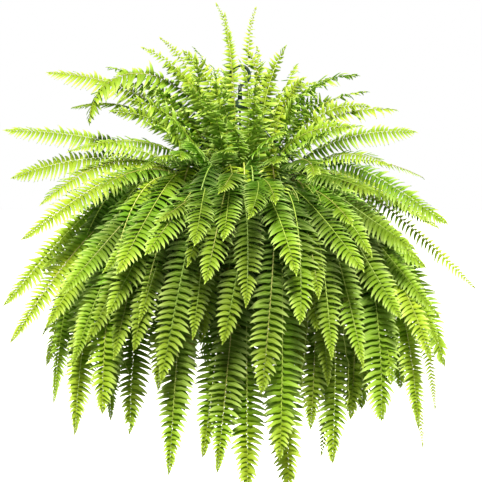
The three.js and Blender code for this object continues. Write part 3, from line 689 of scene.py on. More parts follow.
ribLook = {
    "fresh": (0.46, 0.58, 0.08),
    "dark": (0.20, 0.30, 0.04),
    "tan": (0.36, 0.27, 0.08),
    "brown": (0.13, 0.075, 0.03),
    "tanFrom": 0.45,  # tone
    "tanSharp": 2.5,
    "brownUpTo": 1 / 5,  # share of the rib
    "brownLeast": 0.4,
    "brownPatches": 120.0,
    "grain": (900.0, 2.0),
    "bump": (0.25, 0.0003),
    "roughness": 0.45,
}


def ribMaterial():
    material, nodes = newMaterial("fernRib")
    tone, ageAndShade, share = nodes.attribute("growth")
    # Darker with age, which also carries the painted shade inside the plant.
    base = nodes.mix(ageAndShade, ribLook["fresh"], ribLook["dark"])
    tan = nodes.times(nodes.minus(tone, ribLook["tanFrom"]), ribLook["tanSharp"], clamp=True)
    base = nodes.mix(tan, base, ribLook["tan"])
    low = nodes.minus(1.0, nodes.times(share, 1 / ribLook["brownUpTo"]), clamp=True)
    patches = nodes.plus(ribLook["brownLeast"], nodes.noise(ribLook["brownPatches"]))
    base = nodes.mix(nodes.times(low, patches, clamp=True), base, ribLook["brown"])
    bump = nodes.bump(*ribLook["bump"], nodes.noise(*ribLook["grain"]))
    nodes.finish(nodes.surface(base, ribLook["roughness"], bump))
    return material


earthLook = {
    "crownScale": {
        "tones": [
            (0.25, (0.05, 0.026, 0.012)), (0.55, (0.16, 0.085, 0.035)), (0.8, (0.3, 0.19, 0.09)),
        ],
        "grain": (260.0, 4.0),
        "roughness": 0.75,
        "specular": 0.5,
    },
    "pottingMix": {
        "tones": [
            (0.3, (0.012, 0.008, 0.005)), (0.55, (0.045, 0.028, 0.017)), (0.78, (0.12, 0.08, 0.05)),
        ],
        "grain": (140.0, 6.0),
        "fine": (900.0, 0.4),  # scale and height
        "bump": (0.9, 0.002),
        "roughness": 0.93,
        "specular": 0.25,
    },
    "perlite": {
        "tones": [(0.3, (0.5, 0.47, 0.42)), (0.7, (0.8, 0.78, 0.74))],
        "grain": (1500.0, 3.0),
        "bump": (0.8, 0.0005),
        "roughness": 0.95,
        "specular": 0.5,
    },
}


# One grain gives both the colour and the bumps.
def earthMaterial(name):
    look = earthLook[name]
    material, nodes = newMaterial(name)
    height = grain = nodes.noise(*look["grain"])
    if "fine" in look:
        scale, share = look["fine"]
        height = nodes.plus(grain, nodes.times(nodes.noise(scale), share))
    normal = nodes.bump(*look["bump"], height) if "bump" in look else None
    base = nodes.ramp(grain, look["tones"])
    nodes.finish(nodes.surface(base, look["roughness"], normal, look["specular"]))
    return material


# Green plastic: its colour, the dust's, and the grain's scale, how much dust and how many marks.
plasticLook = {
    "potPlastic": ((0.016, 0.04, 0.02), (0.16, 0.14, 0.1), (1400.0, 0.5, 0.35)),
    "hangerPlastic": ((0.012, 0.034, 0.016), (0.12, 0.11, 0.08), (2200.0, 0.3, 0.1)),
}
wearLook = {
    "dust": (60.0, 5.0),
    "runs": (70.0, 4.0),
    "runScale": (1.0, 1.0, 0.12),  # drawn out downwards
    "runFrom": 0.55,
    "runSharp": 4.0,
    "bump": (0.15, 0.0003),
    "roughness": (0.38, 0.45),  # clean, and how much more where worn
}


# Moulded plastic's grain with dust that settles from above and dried water marks.
def plasticWearGroup():
    inputs = {"Grain scale": 1400.0, "Dust": 0.35, "Marks": 0.3}
    outputs = {"Mask": "Float", "Height": "Float", "Roughness": "Float"}
    group, nodes = newGroup("plasticWear", inputs, outputs)
    grainScale, dustShare, markShare = nodes.add("NodeGroupInput").outputs[:3]
    place = nodes.add("ShaderNodeTexCoord").outputs["Object"]
    facing = nodes.add("ShaderNodeNewGeometry").outputs["Normal"]
    upward = nodes.add("ShaderNodeSeparateXYZ", inputs={0: facing}).outputs[2]
    settle = nodes.math("POWER", nodes.math("MAXIMUM", upward, 0.0), 2.0)
    dust = nodes.times(settle, nodes.noise(*wearLook["dust"]))
    dust = nodes.times(dust, dustShare, clamp=True)
    inputs = {"Vector": place, "Scale": wearLook["runScale"]}
    stretched = nodes.add("ShaderNodeMapping", inputs=inputs)
    runs = nodes.noise(*wearLook["runs"], stretched.outputs[0])
    runs = nodes.times(nodes.minus(runs, wearLook["runFrom"]), wearLook["runSharp"], clamp=True)
    mask = nodes.plus(dust, nodes.times(runs, markShare), clamp=True)
    clean, worn = wearLook["roughness"]
    rough = nodes.plus(clean, nodes.times(mask, worn))
    nodes.give({"Mask": mask, "Height": nodes.noise(grainScale, 2.0, place), "Roughness": rough})
    return group


def plasticMaterial(name, wear):
    tint, dusty, settings = plasticLook[name]
    material, nodes = newMaterial(name)
    look = nodes.add("ShaderNodeGroup", node_tree=wear, inputs=dict(enumerate(settings)))
    mask, height, rough = look.outputs
    base = nodes.mix(mask, tint, dusty)
    nodes.finish(nodes.surface(base, rough, nodes.bump(*wearLook["bump"], height)))
    return material


wearGroup = plasticWearGroup()
leafSkin = leafMaterial(leafPatternGroup())
ribSkin = ribMaterial()
scaleSkin, soilSkin, perliteSkin = (earthMaterial(name) for name in earthLook)
potSkin, hangerSkin = (plasticMaterial(name, wearGroup) for name in plasticLook)
print("materials ready")


leaflet = {
    # how far out and how wide, as shares
    "outline": [(0.0, 0.82), (0.09, 1.12), (0.34, 0.97), (0.64, 0.74), (0.87, 0.38), (1.03, 0.03)],
    "earLift": 0.16,  # the base's upper lobe, in widths
    "fold": 0.19,  # how deep the midrib lies, in widths
    "thickness": 0.055,  # in widths
}


def pickVertices(piece, test):
    bpy.ops.object.mode_set(mode="EDIT")
    bpy.ops.mesh.select_mode(type="VERT")
    bpy.ops.mesh.select_all(action="DESELECT")
    bpy.ops.object.mode_set(mode="OBJECT")
    for vertex in piece.data.vertices:
        vertex.select = bool(test(vertex.co))
    bpy.ops.object.mode_set(mode="EDIT")


# One leaflet, one long and one wide: +X to its point, +Y towards the frond's tip.
def modelLeaflet():
    clearSelection()
    bpy.ops.mesh.primitive_grid_add(x_subdivisions=5, y_subdivisions=2, size=1, location=(0.5, 0, 0))
    bpy.ops.object.transform_apply()
    piece = bpy.context.object
    columns = sorted({round(vertex.co.x, 4) for vertex in piece.data.vertices})
    for column, (reach, width) in reversed(list(zip(columns, leaflet["outline"]))):
        pickVertices(piece, lambda co: abs(co.x - column) < 1e-3)
        bpy.ops.transform.resize(value=(1, width, 1))
        bpy.ops.transform.translate(value=(reach - column, 0, 0))
    pickVertices(piece, lambda co: co.y > 0.1 and 0.05 < co.x < 0.2)
    bpy.ops.transform.translate(value=(0, leaflet["earLift"], 0))
    pickVertices(piece, lambda co: abs(co.y) < 0.02)
    bpy.ops.transform.translate(value=(0, 0, -leaflet["fold"]))
    bpy.ops.object.mode_set(mode="OBJECT")
    modify("SOLIDIFY", thickness=leaflet["thickness"], offset=0)
    corners = np.array([vertex.co for vertex in piece.data.vertices])
    faces = np.array([list(face.vertices) for face in piece.data.polygons])
    count = len(corners) // 2
    under = (np.arange(len(corners)) >= count).astype(float)
    if corners[:count, 2].mean() < corners[count:, 2].mean():
        under = 1 - under
    bpy.data.objects.remove(piece)
    return {"corners": corners, "faces": faces, "under": under}


leafletShape = modelLeaflet()
print(f"modelled a leaflet of {len(leafletShape['faces'])} faces")


leafSlot, ribSlot, scaleSlot = 0, 1, 2  # of a frond cluster's skins


# What is copied into one mesh is gathered in a bucket.
def newBucket():
    return {"corners": [], "faces": [], "leafMap": [], "growth": [], "slots": [], "count": 0}


def addCopy(bucket, corners, faces, leafMap, growth, slot):
    bucket["corners"].append(corners)
    bucket["faces"] += (np.asarray(faces) + bucket["count"]).tolist()
    bucket["leafMap"].append(leafMap)
    bucket["growth"].append(growth)
    bucket["slots"] += [slot] * len(faces)
    bucket["count"] += len(corners)


def growthOf(count, tone, ageAndShade, share):
    values = np.empty((count, 3))
    values[:, 0] = tone
    values[:, 1] = ageAndShade
    values[:, 2] = share
    return values


# A copy of the leaflet along three axes, curved sideways by bend and down by droop.
def addLeaf(bucket, base, axes, sizes, growth, slot=leafSlot, bend=0, droop=0, turned=False):
    x, y, z = leafletShape["corners"].T
    length, width, depth = sizes
    amounts = (x * length, y * width + bend * length * x**2, z * depth - droop * length * x**2)
    corners = base
    for amount, axis in zip(amounts, axes):
        corners = corners + np.outer(amount, axis)
    faces = leafletShape["faces"]
    leafMap = np.column_stack([y + 0.5, x, leafletShape["under"]])
    growth = growthOf(len(corners), *growth)
    addCopy(bucket, corners, faces[:, ::-1] if turned else faces, leafMap, growth, slot)


def makePiece(name, bucket, skins):
    corners = np.vstack(bucket["corners"]) * mm
    corners[:, 2] += soilZ
    mesh = bpy.data.meshes.new(name)
    mesh.from_pydata(corners.tolist(), [], bucket["faces"])
    for skin in skins:
        mesh.materials.append(skin)
    for label in ("leafMap", "growth"):
        layer = mesh.attributes.new(label, "FLOAT_VECTOR", "POINT")
        layer.data.foreach_set("vector", np.vstack(bucket[label]).ravel())
    mesh.polygons.foreach_set("material_index", bucket["slots"])
    mesh.polygons.foreach_set("use_smooth", [True] * len(mesh.polygons))
    mesh.update()
    piece = bpy.data.objects.new(name, mesh)
    bpy.context.scene.collection.objects.link(piece)
    return piece


# A closed tube of quads with capped ends; across and facing set how its section lies.
def tubeMesh(centres, radii, sides, across=None, facing=None, flat=1.0):
    if across is None:
        along = unit(np.gradient(centres, axis=0))
        across = np.empty_like(centres)
        lead = np.cross(along[0], (0.3, 0.2, 1.0))
        for i, direction in enumerate(along):
            lead = lead - direction * (lead @ direction)
            lead = lead / np.linalg.norm(lead)
            across[i] = lead
        facing = np.cross(across, along)
    turns = np.arange(sides) * 2 * math.pi / sides
    rings = (
        centres[:, None, :]
        + (across[:, None, :] * np.cos(turns)[None, :, None]) * radii[:, None, None]
        + (facing[:, None, :] * np.sin(turns)[None, :, None]) * radii[:, None, None] * flat
    )
    corners = np.vstack([rings.reshape(-1, 3), centres[:1], centres[-1:]])
    faces = []
    last = len(centres) - 1
    for i in range(last):
        for k in range(sides):
            a, b = i * sides + k, i * sides + (k + 1) % sides
            faces.append((a, a + sides, b + sides, b))
    start, stop = len(corners) - 2, len(corners) - 1
    for k in range(sides):
        nxt = (k + 1) % sides
        faces.append((start, k, nxt))
        faces.append((stop, last * sides + nxt, last * sides + k))
    return corners, faces


def addTube(bucket, centres, radii, sides, slot, tone, ageAndShade, shares, **section):
    corners, faces = tubeMesh(centres, radii, sides, **section)
    ringShares = np.concatenate([np.repeat(shares, sides), shares[:1], shares[-1:]])
    growth = growthOf(len(corners), tone, ageAndShade, ringShares)
    quads = [face for face in faces if len(face) == 4]
    caps = [face for face in faces if len(face) == 3]
    start = bucket["count"]
    addCopy(bucket, corners, quads, np.zeros((len(corners), 3)), growth, slot)
    bucket["faces"] += [[index + start for index in face] for face in caps]
    bucket["slots"] += [slot] * len(caps)


bladeLook = {
    "pitch": 8.5,  # between leaflets on a side
    "shortPitch": (0.75, 0.25, 400),  # share of it on a short frond, the rest, and from which length
    "finer": 0.15,  # share of the pitch that is missing at the sides
    "grows": (0.45, 700),  # the shortest frond's width as a share, and the length that adds a whole
    "tone": (0.5, 0.5, 0.9),  # middle, spread at random, and how much more on a slim frond
    "lengths": (0.9, 0.16),  # of the leaflets, least and how much more at random
    "widths": (0.9, 0.18),
    # degrees off the rib at its foot, how many less along it and at its tip, spread at random
    "angles": {"foot": 88, "along": 10, "tip": 30, "random": 30},
    "hang": 0.2,  # radians that leaflets drop below the rib's plane
    "hangTries": (0, 0.4, -0.4, 0.8, -0.8),
    "lean": 0.35,  # how far leaflets of a hanging rib turn their face to the sky
    "leanBack": 0.1,
    "spins": (0.3, 0.9),  # lean at random, and how much more in the tuft
    "unruly": {"hang": 1.1, "droop": 0.6},  # at random in the tuft
    "lost": 0.012,  # share of an old frond's leaflets
    "shaded": 0.85,  # painted shade: how much older, and so darker, leaflets beside the pot are made
    "cover": (0.74, 0.98),  # how much of the pitch they fill on a level and on a hanging rib
    "falcate": 0.16,  # bend towards the frond's tip, of the length
    "droop": 0.15,
    "ribRadius": 1.3,
    "ribEnd": 0.3,
    "ribSides": 6,
    "ribFlat": 0.75,
    "tipLeaflet": (7.0, 2.6),
}
witheredLook = {
    "share": 0.3,  # of the low fronds near the pot
    "heights": (-300, -180),
    "reach": 190,
    "tips": [(-78, -165, -235)],  # this one for certain
    "leaflets": 0.45,  # share of them that are
    "tone": 1.8,
    "length": 0.8,  # as a share
    "hang": 0.6,  # more than the others
    "curl": 1.2,
}
habits = {
    "size": (0.92, 0.16),  # least width of a frond, and how much more at random
    "twist": (0.5, 2.6),  # radians at random along a rib, and how many more in the tuft
    "unrest": (0.3, 0.7),
    "taper": (3, 5),  # least, and how much more at random
    "tallNarrower": 0.42,
    "tallSlimmer": 0.2,
    "lowBroader": 0.15,
}
agingAndShade = {
    "usual": 0.54,
    "random": 0.7,
    # how much younger, and so lighter, fronds are by zone; only the largest counts. Partly young
    # growth, partly painted light on the top, lowest, front and side fronds
    "fresh": {"upright": 0.53, "lowest": 0.46, "foremost": 0.42, "sides": 0.36},
    "aside": 0.35,  # share of that which upright ones off the middle lack
    "slender": 0.6,
    # and how much older, and so darker: painted shade on the fronds inside the plant
    "shade": {"inner": 0.45, "middle": 0.38},
}
# The plant's zones: each starts at an edge of a measure and is whole a span further on.
zones = {
    "tall": [("height", 205, 50)],
    "tuft": [("height", 60, 110), ("side", 260, -60)],
    "low": [("height", -220, -90)],
    "spread": [("side", 150, 100)],
    "aside": [("side", 120, 80)],
    "upright": [("height", 50, 110)],
    "lowest": [("height", -210, -110)],
    "foremost": [("depth", -235, -30)],
    "sides": [("side", 190, 80), ("height", 170, -80)],
    "inner": [("reach", 228, -30), ("height", -60, -60), ("height", -330, 60)],
    "middle": [("side", 150, -60), ("height", 110, -60), ("height", -300, 80)],
    "besidePot": [("reach", 258, -80), ("height", 40, -90), ("height", -330, 100)],
}
hangerRoom = {"loop": 19, "strand": 3.2}  # that leaflets leave


# How far into a zone a point lies, from 0 to 1.
def within(zone, point):
    x, y, z = point[:3]
    measures = {"side": abs(x), "depth": y, "height": z, "reach": math.hypot(x, y)}
    return math.prod(ease(measures[name], edge, span) for name, edge, span in zones[zone])


# Half the width along the blade; a high taper keeps its sides parallel almost to the end.
def bladeWidth(share, taper):
    return (0.55 + 0.45 * smooth(share / 0.2)) * (1 - np.clip(share, 0, 1) ** taper) ** 0.85


def ribFrames(entry, shares, twist):
    curve, tip, crown = entry["curve"], entry["tip"], entry["crown"]
    shares = np.asarray(shares, float)
    centres = pointsOn(curve, shares)
    along = tangentsOn(curve, shares)
    outward = unit(np.array([tip[0] - crown["x"], tip[1] - crown["y"], 0.0]))
    flat = np.cross(outward, (0, 0, 1))
    across = unit(flat - along * (along @ flat)[:, None])
    facing = np.cross(across, along)
    turn = rib["faceTurn"] * flat[1] * (0.4 if tip[1] > 60 else 1)
    roll = (turn * smooth(shares * 1.5) + twist * shares)[:, None]
    rolled = across * np.cos(roll) + facing * np.sin(roll)
    return centres, along, rolled, np.cross(rolled, along)


strandPoints = np.vstack([throughKnots(strandKnots(angle), 12) for angle in strandAngles])


def isFree(points):
    if (np.hypot(points[:, 0], points[:, 1]) < potReach(points[:, 2], 2)).any():
        return False
    aboveHub = points[:, 2] > hangerLine["hubBottom"] - 4
    if (aboveHub & (np.hypot(points[:, 0], points[:, 1]) < hangerRoom["loop"])).any():
        return False
    return np.linalg.norm(points[:, None] - strandPoints[None], axis=2).min() > hangerRoom["strand"]


# Tall fronds are slim and the lowest broad, those of the tuft are turned about at random.
def habitOf(tip, draw):
    tall, tuft = within("tall", tip), within("tuft", tip)
    twist, unrest = (calm + wild * tuft for calm, wild in (habits["twist"], habits["unrest"]))
    twist = (next(draw) - 0.5) * twist
    slim = tip[5] if len(tip) > 5 else 1
    size = vary(habits["size"], draw) * (1 - habits["tallNarrower"] * tall) * slim
    size *= 1 + habits["lowBroader"] * within("low", tip)
    least, more = habits["taper"]
    taper = least + more * next(draw) * (1 - tall)
    slim -= habits["tallSlimmer"] * tall
    return {"twist": twist, "size": size, "taper": taper, "unrest": unrest, "slim": slim}


def isWithered(tip, detail):
    low, high = witheredLook["heights"]
    nearPot = low < tip[2] < high and math.hypot(tip[0], tip[1]) < witheredLook["reach"]
    chosen = next(detail) < witheredLook["share"] and nearPot
    return chosen or tip[:3] in witheredLook["tips"]


# Where the leaflets stand: place along the rib, side, and room to the next.
def stationsOn(entry, taper):
    length, stalk = entry["curve"]["length"], rib["stalkShare"]
    fine = 1 - bladeLook["finer"] * within("spread", entry["tip"])
    least, more, full = bladeLook["shortPitch"]
    short = least + more * min(1, length / full)
    place = stalk * length
    stations = []
    while place < length * 0.99:
        grown = bladeWidth((place / length - stalk) / (1 - stalk), taper)
        pitch = bladeLook["pitch"] * (0.42 + 0.58 * grown) * short * fine
        stations += [(place, 1, pitch), (place + pitch * 0.45, -1, pitch)]
        place += pitch
    return stations


def growFrond(bucket, entry, draw, detail):
    habit = habitOf(entry["tip"], draw)
    twist, taper, unrest = habit["twist"], habit["taper"], habit["unrest"]
    length, stalk = entry["curve"]["length"], rib["stalkShare"]
    narrow, growth = bladeLook["grows"]
    size = rib["halfWidth"] * min(1, narrow + length / growth) * habit["size"]
    ageAndShade = ageAndShadeOf(entry, detail)
    middle, varied, slimmer = bladeLook["tone"]
    frondTone = middle + (next(detail) - 0.5) * varied + slimmer * (1 - habit["slim"])
    withered = isWithered(entry["tip"], detail)
    if withered:
        ageAndShade = 1
    shares = np.linspace(0, 1, max(18, int(length / 9)))
    centres, along, across, facing = ribFrames(entry, shares, twist)
    radii = bladeLook["ribRadius"] + (bladeLook["ribEnd"] - bladeLook["ribRadius"]) * shares**0.8
    radii = radii * (0.8 + 0.2 * min(1, length / 350)) + 0.5 * np.clip(1 - shares / 0.06, 0, 1)
    addTube(bucket, centres, radii, bladeLook["ribSides"], ribSlot, frondTone, ageAndShade, shares,
            across=across, facing=facing, flat=bladeLook["ribFlat"])
    stations = stationsOn(entry, taper)
    spots = np.array([min(place, length * 0.992) / length for place, _, _ in stations])
    centres, along, across, facing = ribFrames(entry, spots, twist)
    level, hung = bladeLook["cover"]
    angles, unruly = bladeLook["angles"], bladeLook["unruly"]
    calm, wild = bladeLook["spins"]
    spins = calm + wild * unrest
    for i, (_, side, pitch) in enumerate(stations):
        t = (spots[i] - stalk) / (1 - stalk)
        reach = size * bladeWidth(t, taper) * vary(bladeLook["lengths"], detail)
        wide = pitch * (level + (hung - level) * ease(along[i][2], -0.2, -0.5))
        wide *= vary(bladeLook["widths"], detail) * habit["slim"]
        spin, curl, hangDraw, toneDraw = (next(detail) - 0.5 for _ in range(4))
        if next(detail) < bladeLook["lost"] * ageAndShade:
            continue
        forward = angles["foot"] - angles["along"] * t - angles["tip"] * ease(t, 0.75, 0.25)
        forward = math.radians(forward + angles["random"] * unrest * toneDraw)
        lean = bladeLook["lean"] * along[i][2] - bladeLook["leanBack"] + spins * spin
        tone = frondTone + varied * toneDraw
        # Painted shade: leaflets beside the pot are made older and darker.
        leafAgeAndShade = min(1, ageAndShade + bladeLook["shaded"] * within("besidePot", centres[i]))
        if withered and next(detail) < witheredLook["leaflets"]:
            tone, reach = witheredLook["tone"], reach * witheredLook["length"]
            hangDraw, curl = hangDraw + witheredLook["hang"], curl + witheredLook["curl"]
        hang = bladeLook["hang"] + unruly["hang"] * unrest * hangDraw
        growLeaflet(bucket, {
            "base": centres[i] + across[i] * side * 0.5,
            "along": along[i], "across": across[i] * side, "facing": facing[i],
            "length": max(reach, 2.2), "width": wide, "forward": forward, "lean": lean,
            "hangs": [hang + extra for extra in bladeLook["hangTries"]],
            "droop": bladeLook["droop"] + unruly["droop"] * unrest * curl, "side": side,
            "growth": (tone, leafAgeAndShade, spots[i]),
        })
    reach, wide = bladeLook["tipLeaflet"]
    growLeaflet(bucket, {
        "base": centres[-1], "along": across[-1], "across": along[-1], "facing": facing[-1],
        "length": reach, "width": wide, "forward": math.pi / 2, "lean": 0.0, "hangs": [0.1],
        "droop": 0.1, "side": -1, "growth": (frondTone, ageAndShade, 1.0),
    })


# The leaflet's own axes: ahead to its point, beside towards the frond's tip, above its face.
# It hangs as the first of its tries that is clear of pot and hanger.
def growLeaflet(bucket, leaf):
    out = leaf["across"] * math.sin(leaf["forward"]) + leaf["along"] * math.cos(leaf["forward"])
    beside = leaf["along"] * math.sin(leaf["forward"]) - leaf["across"] * math.cos(leaf["forward"])
    shares = np.array([0.35, 0.7, 1.0])[:, None]
    for hang in leaf["hangs"]:
        ahead = out * math.cos(hang) - leaf["facing"] * math.sin(hang)
        above = leaf["facing"] * math.cos(hang) + out * math.sin(hang)
        if isFree(leaf["base"] + ahead * leaf["length"] * shares):
            break
    else:
        return
    lean, width = leaf["lean"], leaf["width"]
    tilted = beside * math.cos(lean) - above * math.sin(lean)
    above = above * math.cos(lean) + beside * math.sin(lean)
    axes, sizes = (ahead, tilted, above), (leaf["length"], width, width)
    addLeaf(bucket, leaf["base"], axes, sizes, leaf["growth"],
            bend=bladeLook["falcate"], droop=leaf["droop"], turned=leaf["side"] < 0)


# From 0, young, to 1, old: by where the frond ends, and at random; fronds inside the plant are made
# older and darker as painted shade, outer ones younger and lighter, partly as painted light.
def ageAndShadeOf(entry, detail):
    tip = entry["tip"]
    fresh = {zone: share * within(zone, tip) for zone, share in agingAndShade["fresh"].items()}
    fresh["upright"] *= 1 - agingAndShade["aside"] * within("aside", tip)
    fresh["slender"] = agingAndShade["slender"] * (len(tip) > 5)
    shade = sum(share * within(zone, tip) for zone, share in agingAndShade["shade"].items())
    chance = (next(detail) - 0.5) * agingAndShade["random"]
    return np.clip(agingAndShade["usual"] - max(fresh.values()) + shade + chance, 0, 1)


crownLook = {
    "radius": 8.6,
    "top": 6.5,
    "depth": 11,
    "height": 11,
    "scales": 44,
    "scalesFrom": -1.5,  # height
    "scalesOver": 12.5,
    "scalesCloser": 2.6,  # at the top
    "scaleLean": (0.35, 0.9),  # least, and how much more at random
    "scaleGrows": (0.6, 0.7),
    "scaleLength": 8.0,
    "scaleWidth": 2.2,
    "scaleDepth": 3.0,
    "goldenAngle": 2.399963,  # from scale to scale
}


def growCrown(bucket, crown, detail):
    foot = np.array([crown["x"], crown["y"], 0.0])
    heights = np.linspace(-crownLook["depth"], crownLook["height"], 7)
    shares = (heights + crownLook["depth"]) / (crownLook["depth"] + crownLook["height"])
    radii = crownLook["radius"] + (crownLook["top"] - crownLook["radius"]) * shares**1.6
    centres = foot + np.outer(heights, up)
    addTube(bucket, centres, radii, 10, scaleSlot, 0.5, 0.5, shares)
    for k in range(crownLook["scales"]):
        rise = k / crownLook["scales"]
        out = heading(k * crownLook["goldenAngle"])
        beside = np.array([-out[1], out[0], 0.0])
        base = foot + out * (crownLook["radius"] - crownLook["scalesCloser"] * rise)
        base = base + up * (crownLook["scalesFrom"] + crownLook["scalesOver"] * rise)
        lean = vary(crownLook["scaleLean"], detail)
        ahead = up * math.cos(lean) + out * math.sin(lean)
        reach = crownLook["scaleLength"] * vary(crownLook["scaleGrows"], detail)
        sizes = (reach, crownLook["scaleWidth"], crownLook["scaleDepth"])
        axes = (ahead, beside, np.cross(ahead, beside))
        addLeaf(bucket, base, axes, sizes, (0.5, 0.5, 0.0), slot=scaleSlot)


# Thin runners that hang over the rim: right, back and up of their bends.
runners = [
    [(-50, -60, 12), (-72, -128, 22), (-80, -158, -20), (-64, -172, -108), (-60, -170, -141)],
    [(-20, -82, 12), (-34, -130, 24), (-66, -160, -60), (-74, -168, -126), (-52, -172, -132),
     (-42, -168, -150)],
    [(55, -60, 12), (98, -120, 24), (126, -140, -90), (142, -138, -190), (146, -136, -262),
     (128, -138, -306)],
    [(40, -72, 12), (70, -132, 22), (92, -150, -120), (84, -150, -240), (100, -146, -282),
     (122, -142, -276)],
    [(78, -20, 12), (136, -60, 26), (176, -96, -90), (186, -100, -200), (172, -104, -262)],
    [(-80, 10, 12), (-140, -40, 24), (-176, -92, -80), (-168, -110, -190), (-150, -116, -232)],
    [(-10, 80, 12), (-30, 132, 24), (-50, 160, -80), (-38, 162, -190), (-52, 158, -250)],
    [(60, 58, 12), (104, 104, 22), (124, 132, -70), (112, 140, -180), (124, 138, -222)],
]
runnerLook = {
    "radius": 0.6,
    "end": 0.35,
    "sides": 5,
    "waves": [(1.0, 0.55, 1), (0.6, 1.31, 2)],  # size, radians to a step, share of the phase
    "straight": 12,  # steps until they are whole
}


def growRunner(bucket, bends, draw):
    points = throughKnots(np.array(bends, float), 16)
    steps = np.arange(len(points))
    for axis in (0, 1):
        phase = 6 * next(draw)
        waves = [size * np.sin(steps * pace + k * phase) for size, pace, k in runnerLook["waves"]]
        points[:, axis] += sum(waves) * smooth(steps / runnerLook["straight"])
    shares = 0.4 + 0.6 * steps / steps[-1]
    radii = runnerLook["radius"] + (runnerLook["end"] - runnerLook["radius"]) * shares
    addTube(bucket, points, radii, runnerLook["sides"], ribSlot, 0.5, 0.15, shares)


crozier = {
    "coil": 7.5,
    "turns": 1.7,
    "coilSteps": 34,
    "stalkRadius": 1.7,
    "endRadius": 0.7,
    "stalkSteps": 10,
    "height": (30, 75),  # least, and how much more at random
    "lean": (0.12, 0.15),
    "coilGrows": (0.8, 0.4),
    "tightens": 0.82,
    "strays": 1.2,  # radians
    "buds": 22,
    "budSize": (3.4, 1.9, 2.0),
}


# A young frond still rolled up: a stalk that leans out from the crown and ends in a spiral.
def growCrozier(bucket, crown, draw):
    height = vary(crozier["height"], draw)
    out = heading(turnOf(crown["x"], crown["y"]) + crozier["strays"] * (next(draw) - 0.5))
    foot = np.array([crown["x"], crown["y"], 6.0])
    lean = vary(crozier["lean"], draw)
    coil = crozier["coil"] * vary(crozier["coilGrows"], draw)
    rises = np.linspace(0, 1, crozier["stalkSteps"])
    points = [foot + up * height * t + out * height * lean * t * t for t in rises]
    centre = points[-1] + out * coil
    for k in range(1, crozier["coilSteps"] + 1):
        share = k / crozier["coilSteps"]
        angle = math.pi - 2 * math.pi * crozier["turns"] * share
        reach = coil * (1 - crozier["tightens"] * share)
        points.append(centre + out * reach * math.cos(angle) + up * reach * math.sin(angle))
    shares = np.linspace(0, 1, len(points))
    radii = crozier["stalkRadius"] + (crozier["endRadius"] - crozier["stalkRadius"]) * shares
    addTube(bucket, np.array(points), radii, 7, ribSlot, 0.5, 0.1, 0.08 + 0.9 * shares)
    side = np.cross(out, up)
    for spot in points[crozier["stalkSteps"]:][:crozier["buds"]]:
        away = unit(spot - centre)
        for hand in (-1, 1):
            ahead = unit(side * hand * 0.8 + away * 0.6)
            along = np.cross(away, side) * hand
            axes = (ahead, along, np.cross(ahead, along))
            addLeaf(bucket, spot, axes, crozier["budSize"], (0.6, 0.1, 0.9))


def nearestCrown(point):
    return min(crowns, key=lambda crown: math.hypot(point[0] - crown["x"], point[1] - crown["y"]))


draw = drawFrom(4711)
detail = drawFrom(90210)
extras = drawFrom(577)
frondPieces = []
for number, crown in enumerate(crowns):
    bucket = newBucket()
    growCrown(bucket, crown, detail)
    for entry in [entry for entry in fronds if entry["crown"] is crown]:
        growFrond(bucket, entry, draw, detail)
    for bends in [bends for bends in runners if nearestCrown(bends[0]) is crown]:
        growRunner(bucket, [(crown["x"], crown["y"], 10)] + bends[1:], extras)
    if number < crownRings[0][1] + crownRings[1][1]:
        growCrozier(bucket, crown, extras)
    piece = makePiece(f"fronds_{number + 1:02d}", bucket, [leafSkin, ribSkin, scaleSkin])
    frondPieces.append(piece)
faceCount = sum(len(piece.data.polygons) for piece in frondPieces)
print(f"grew {len(frondPieces)} clusters of fronds, {faceCount} faces")

for number, piece in enumerate(frondPieces):
    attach(piece, "root")
    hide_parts(f"frond_cluster_{number + 1:02d}")

pot = {
    "sides": 96,
    # radius and height, from the middle of the foot up the outside and down the inside
    "foot": [(12, -170), (50, -170), (73, -170), (75.4, -170), (76.2, -173), (84, -173),
             (85.2, -171)],
    "beads": [-148, -24, -17],  # heights of the wall's raised bands
    "bead": [(-3, 0), (-1.6, 0.7), (1.6, 0.7), (3, 0)],  # rise and depth
    "rim": [(115.2, 8), (116, 9), (125.2, 9), (125.2, -3), (127, -3), (127, 10.2), (126.2, 11.6),
            (124.8, 12), (117.5, 12), (116.6, 11.3), (115, 11.3), (113.5, 10)],
    "inside": [(83.2, -163), (79, -167.5), (12, -167.5)],
    "edge": 0.35,
    "drains": 6,
    "drainCircle": 60,
    "drainHole": (-168, 4.5, 12),  # middle height, radius and length
    "strandHole": (10, 2.2, 12),
}
roundEdge = {"segments": 2, "limit_method": "ANGLE", "angle_limit": 0.5}
sliver = 5e-6  # metres


# Turns a profile of radius and height by extruding a ring of edges from point to point.
def turnProfile(profile, sides):
    clearSelection()
    radius, height = profile[0]
    bpy.ops.mesh.primitive_circle_add(vertices=sides, radius=radius * mm, fill_type="NGON")
    piece = bpy.context.object
    piece.location.z = height * mm + soilZ
    bpy.ops.object.transform_apply()
    editAll()
    for (near, low), (far, high) in zip(profile, profile[1:]):
        bpy.ops.mesh.extrude_edges_move(TRANSFORM_OT_translate={"value": (0, 0, (high - low) * mm)})
        bpy.ops.transform.resize(value=(far / near, far / near, 1))
    bpy.ops.mesh.edge_face_add()
    turnOutwards()
    return piece


# Upright cylinders, each from (x, y, middle height, radius, length), joined into one cutter.
def postsAt(spots, sides):
    clearSelection()
    posts = []
    for x, y, z, radius, length in spots:
        bpy.ops.mesh.primitive_cylinder_add(
            vertices=sides, radius=radius * mm, depth=length * mm,
            location=(x * mm, y * mm, z * mm + soilZ),
        )
        posts.append(bpy.context.object)
    return joined(posts)


def joined(pieces):
    pick(*pieces)
    bpy.ops.object.join()
    bpy.ops.object.transform_apply()
    return bpy.context.object


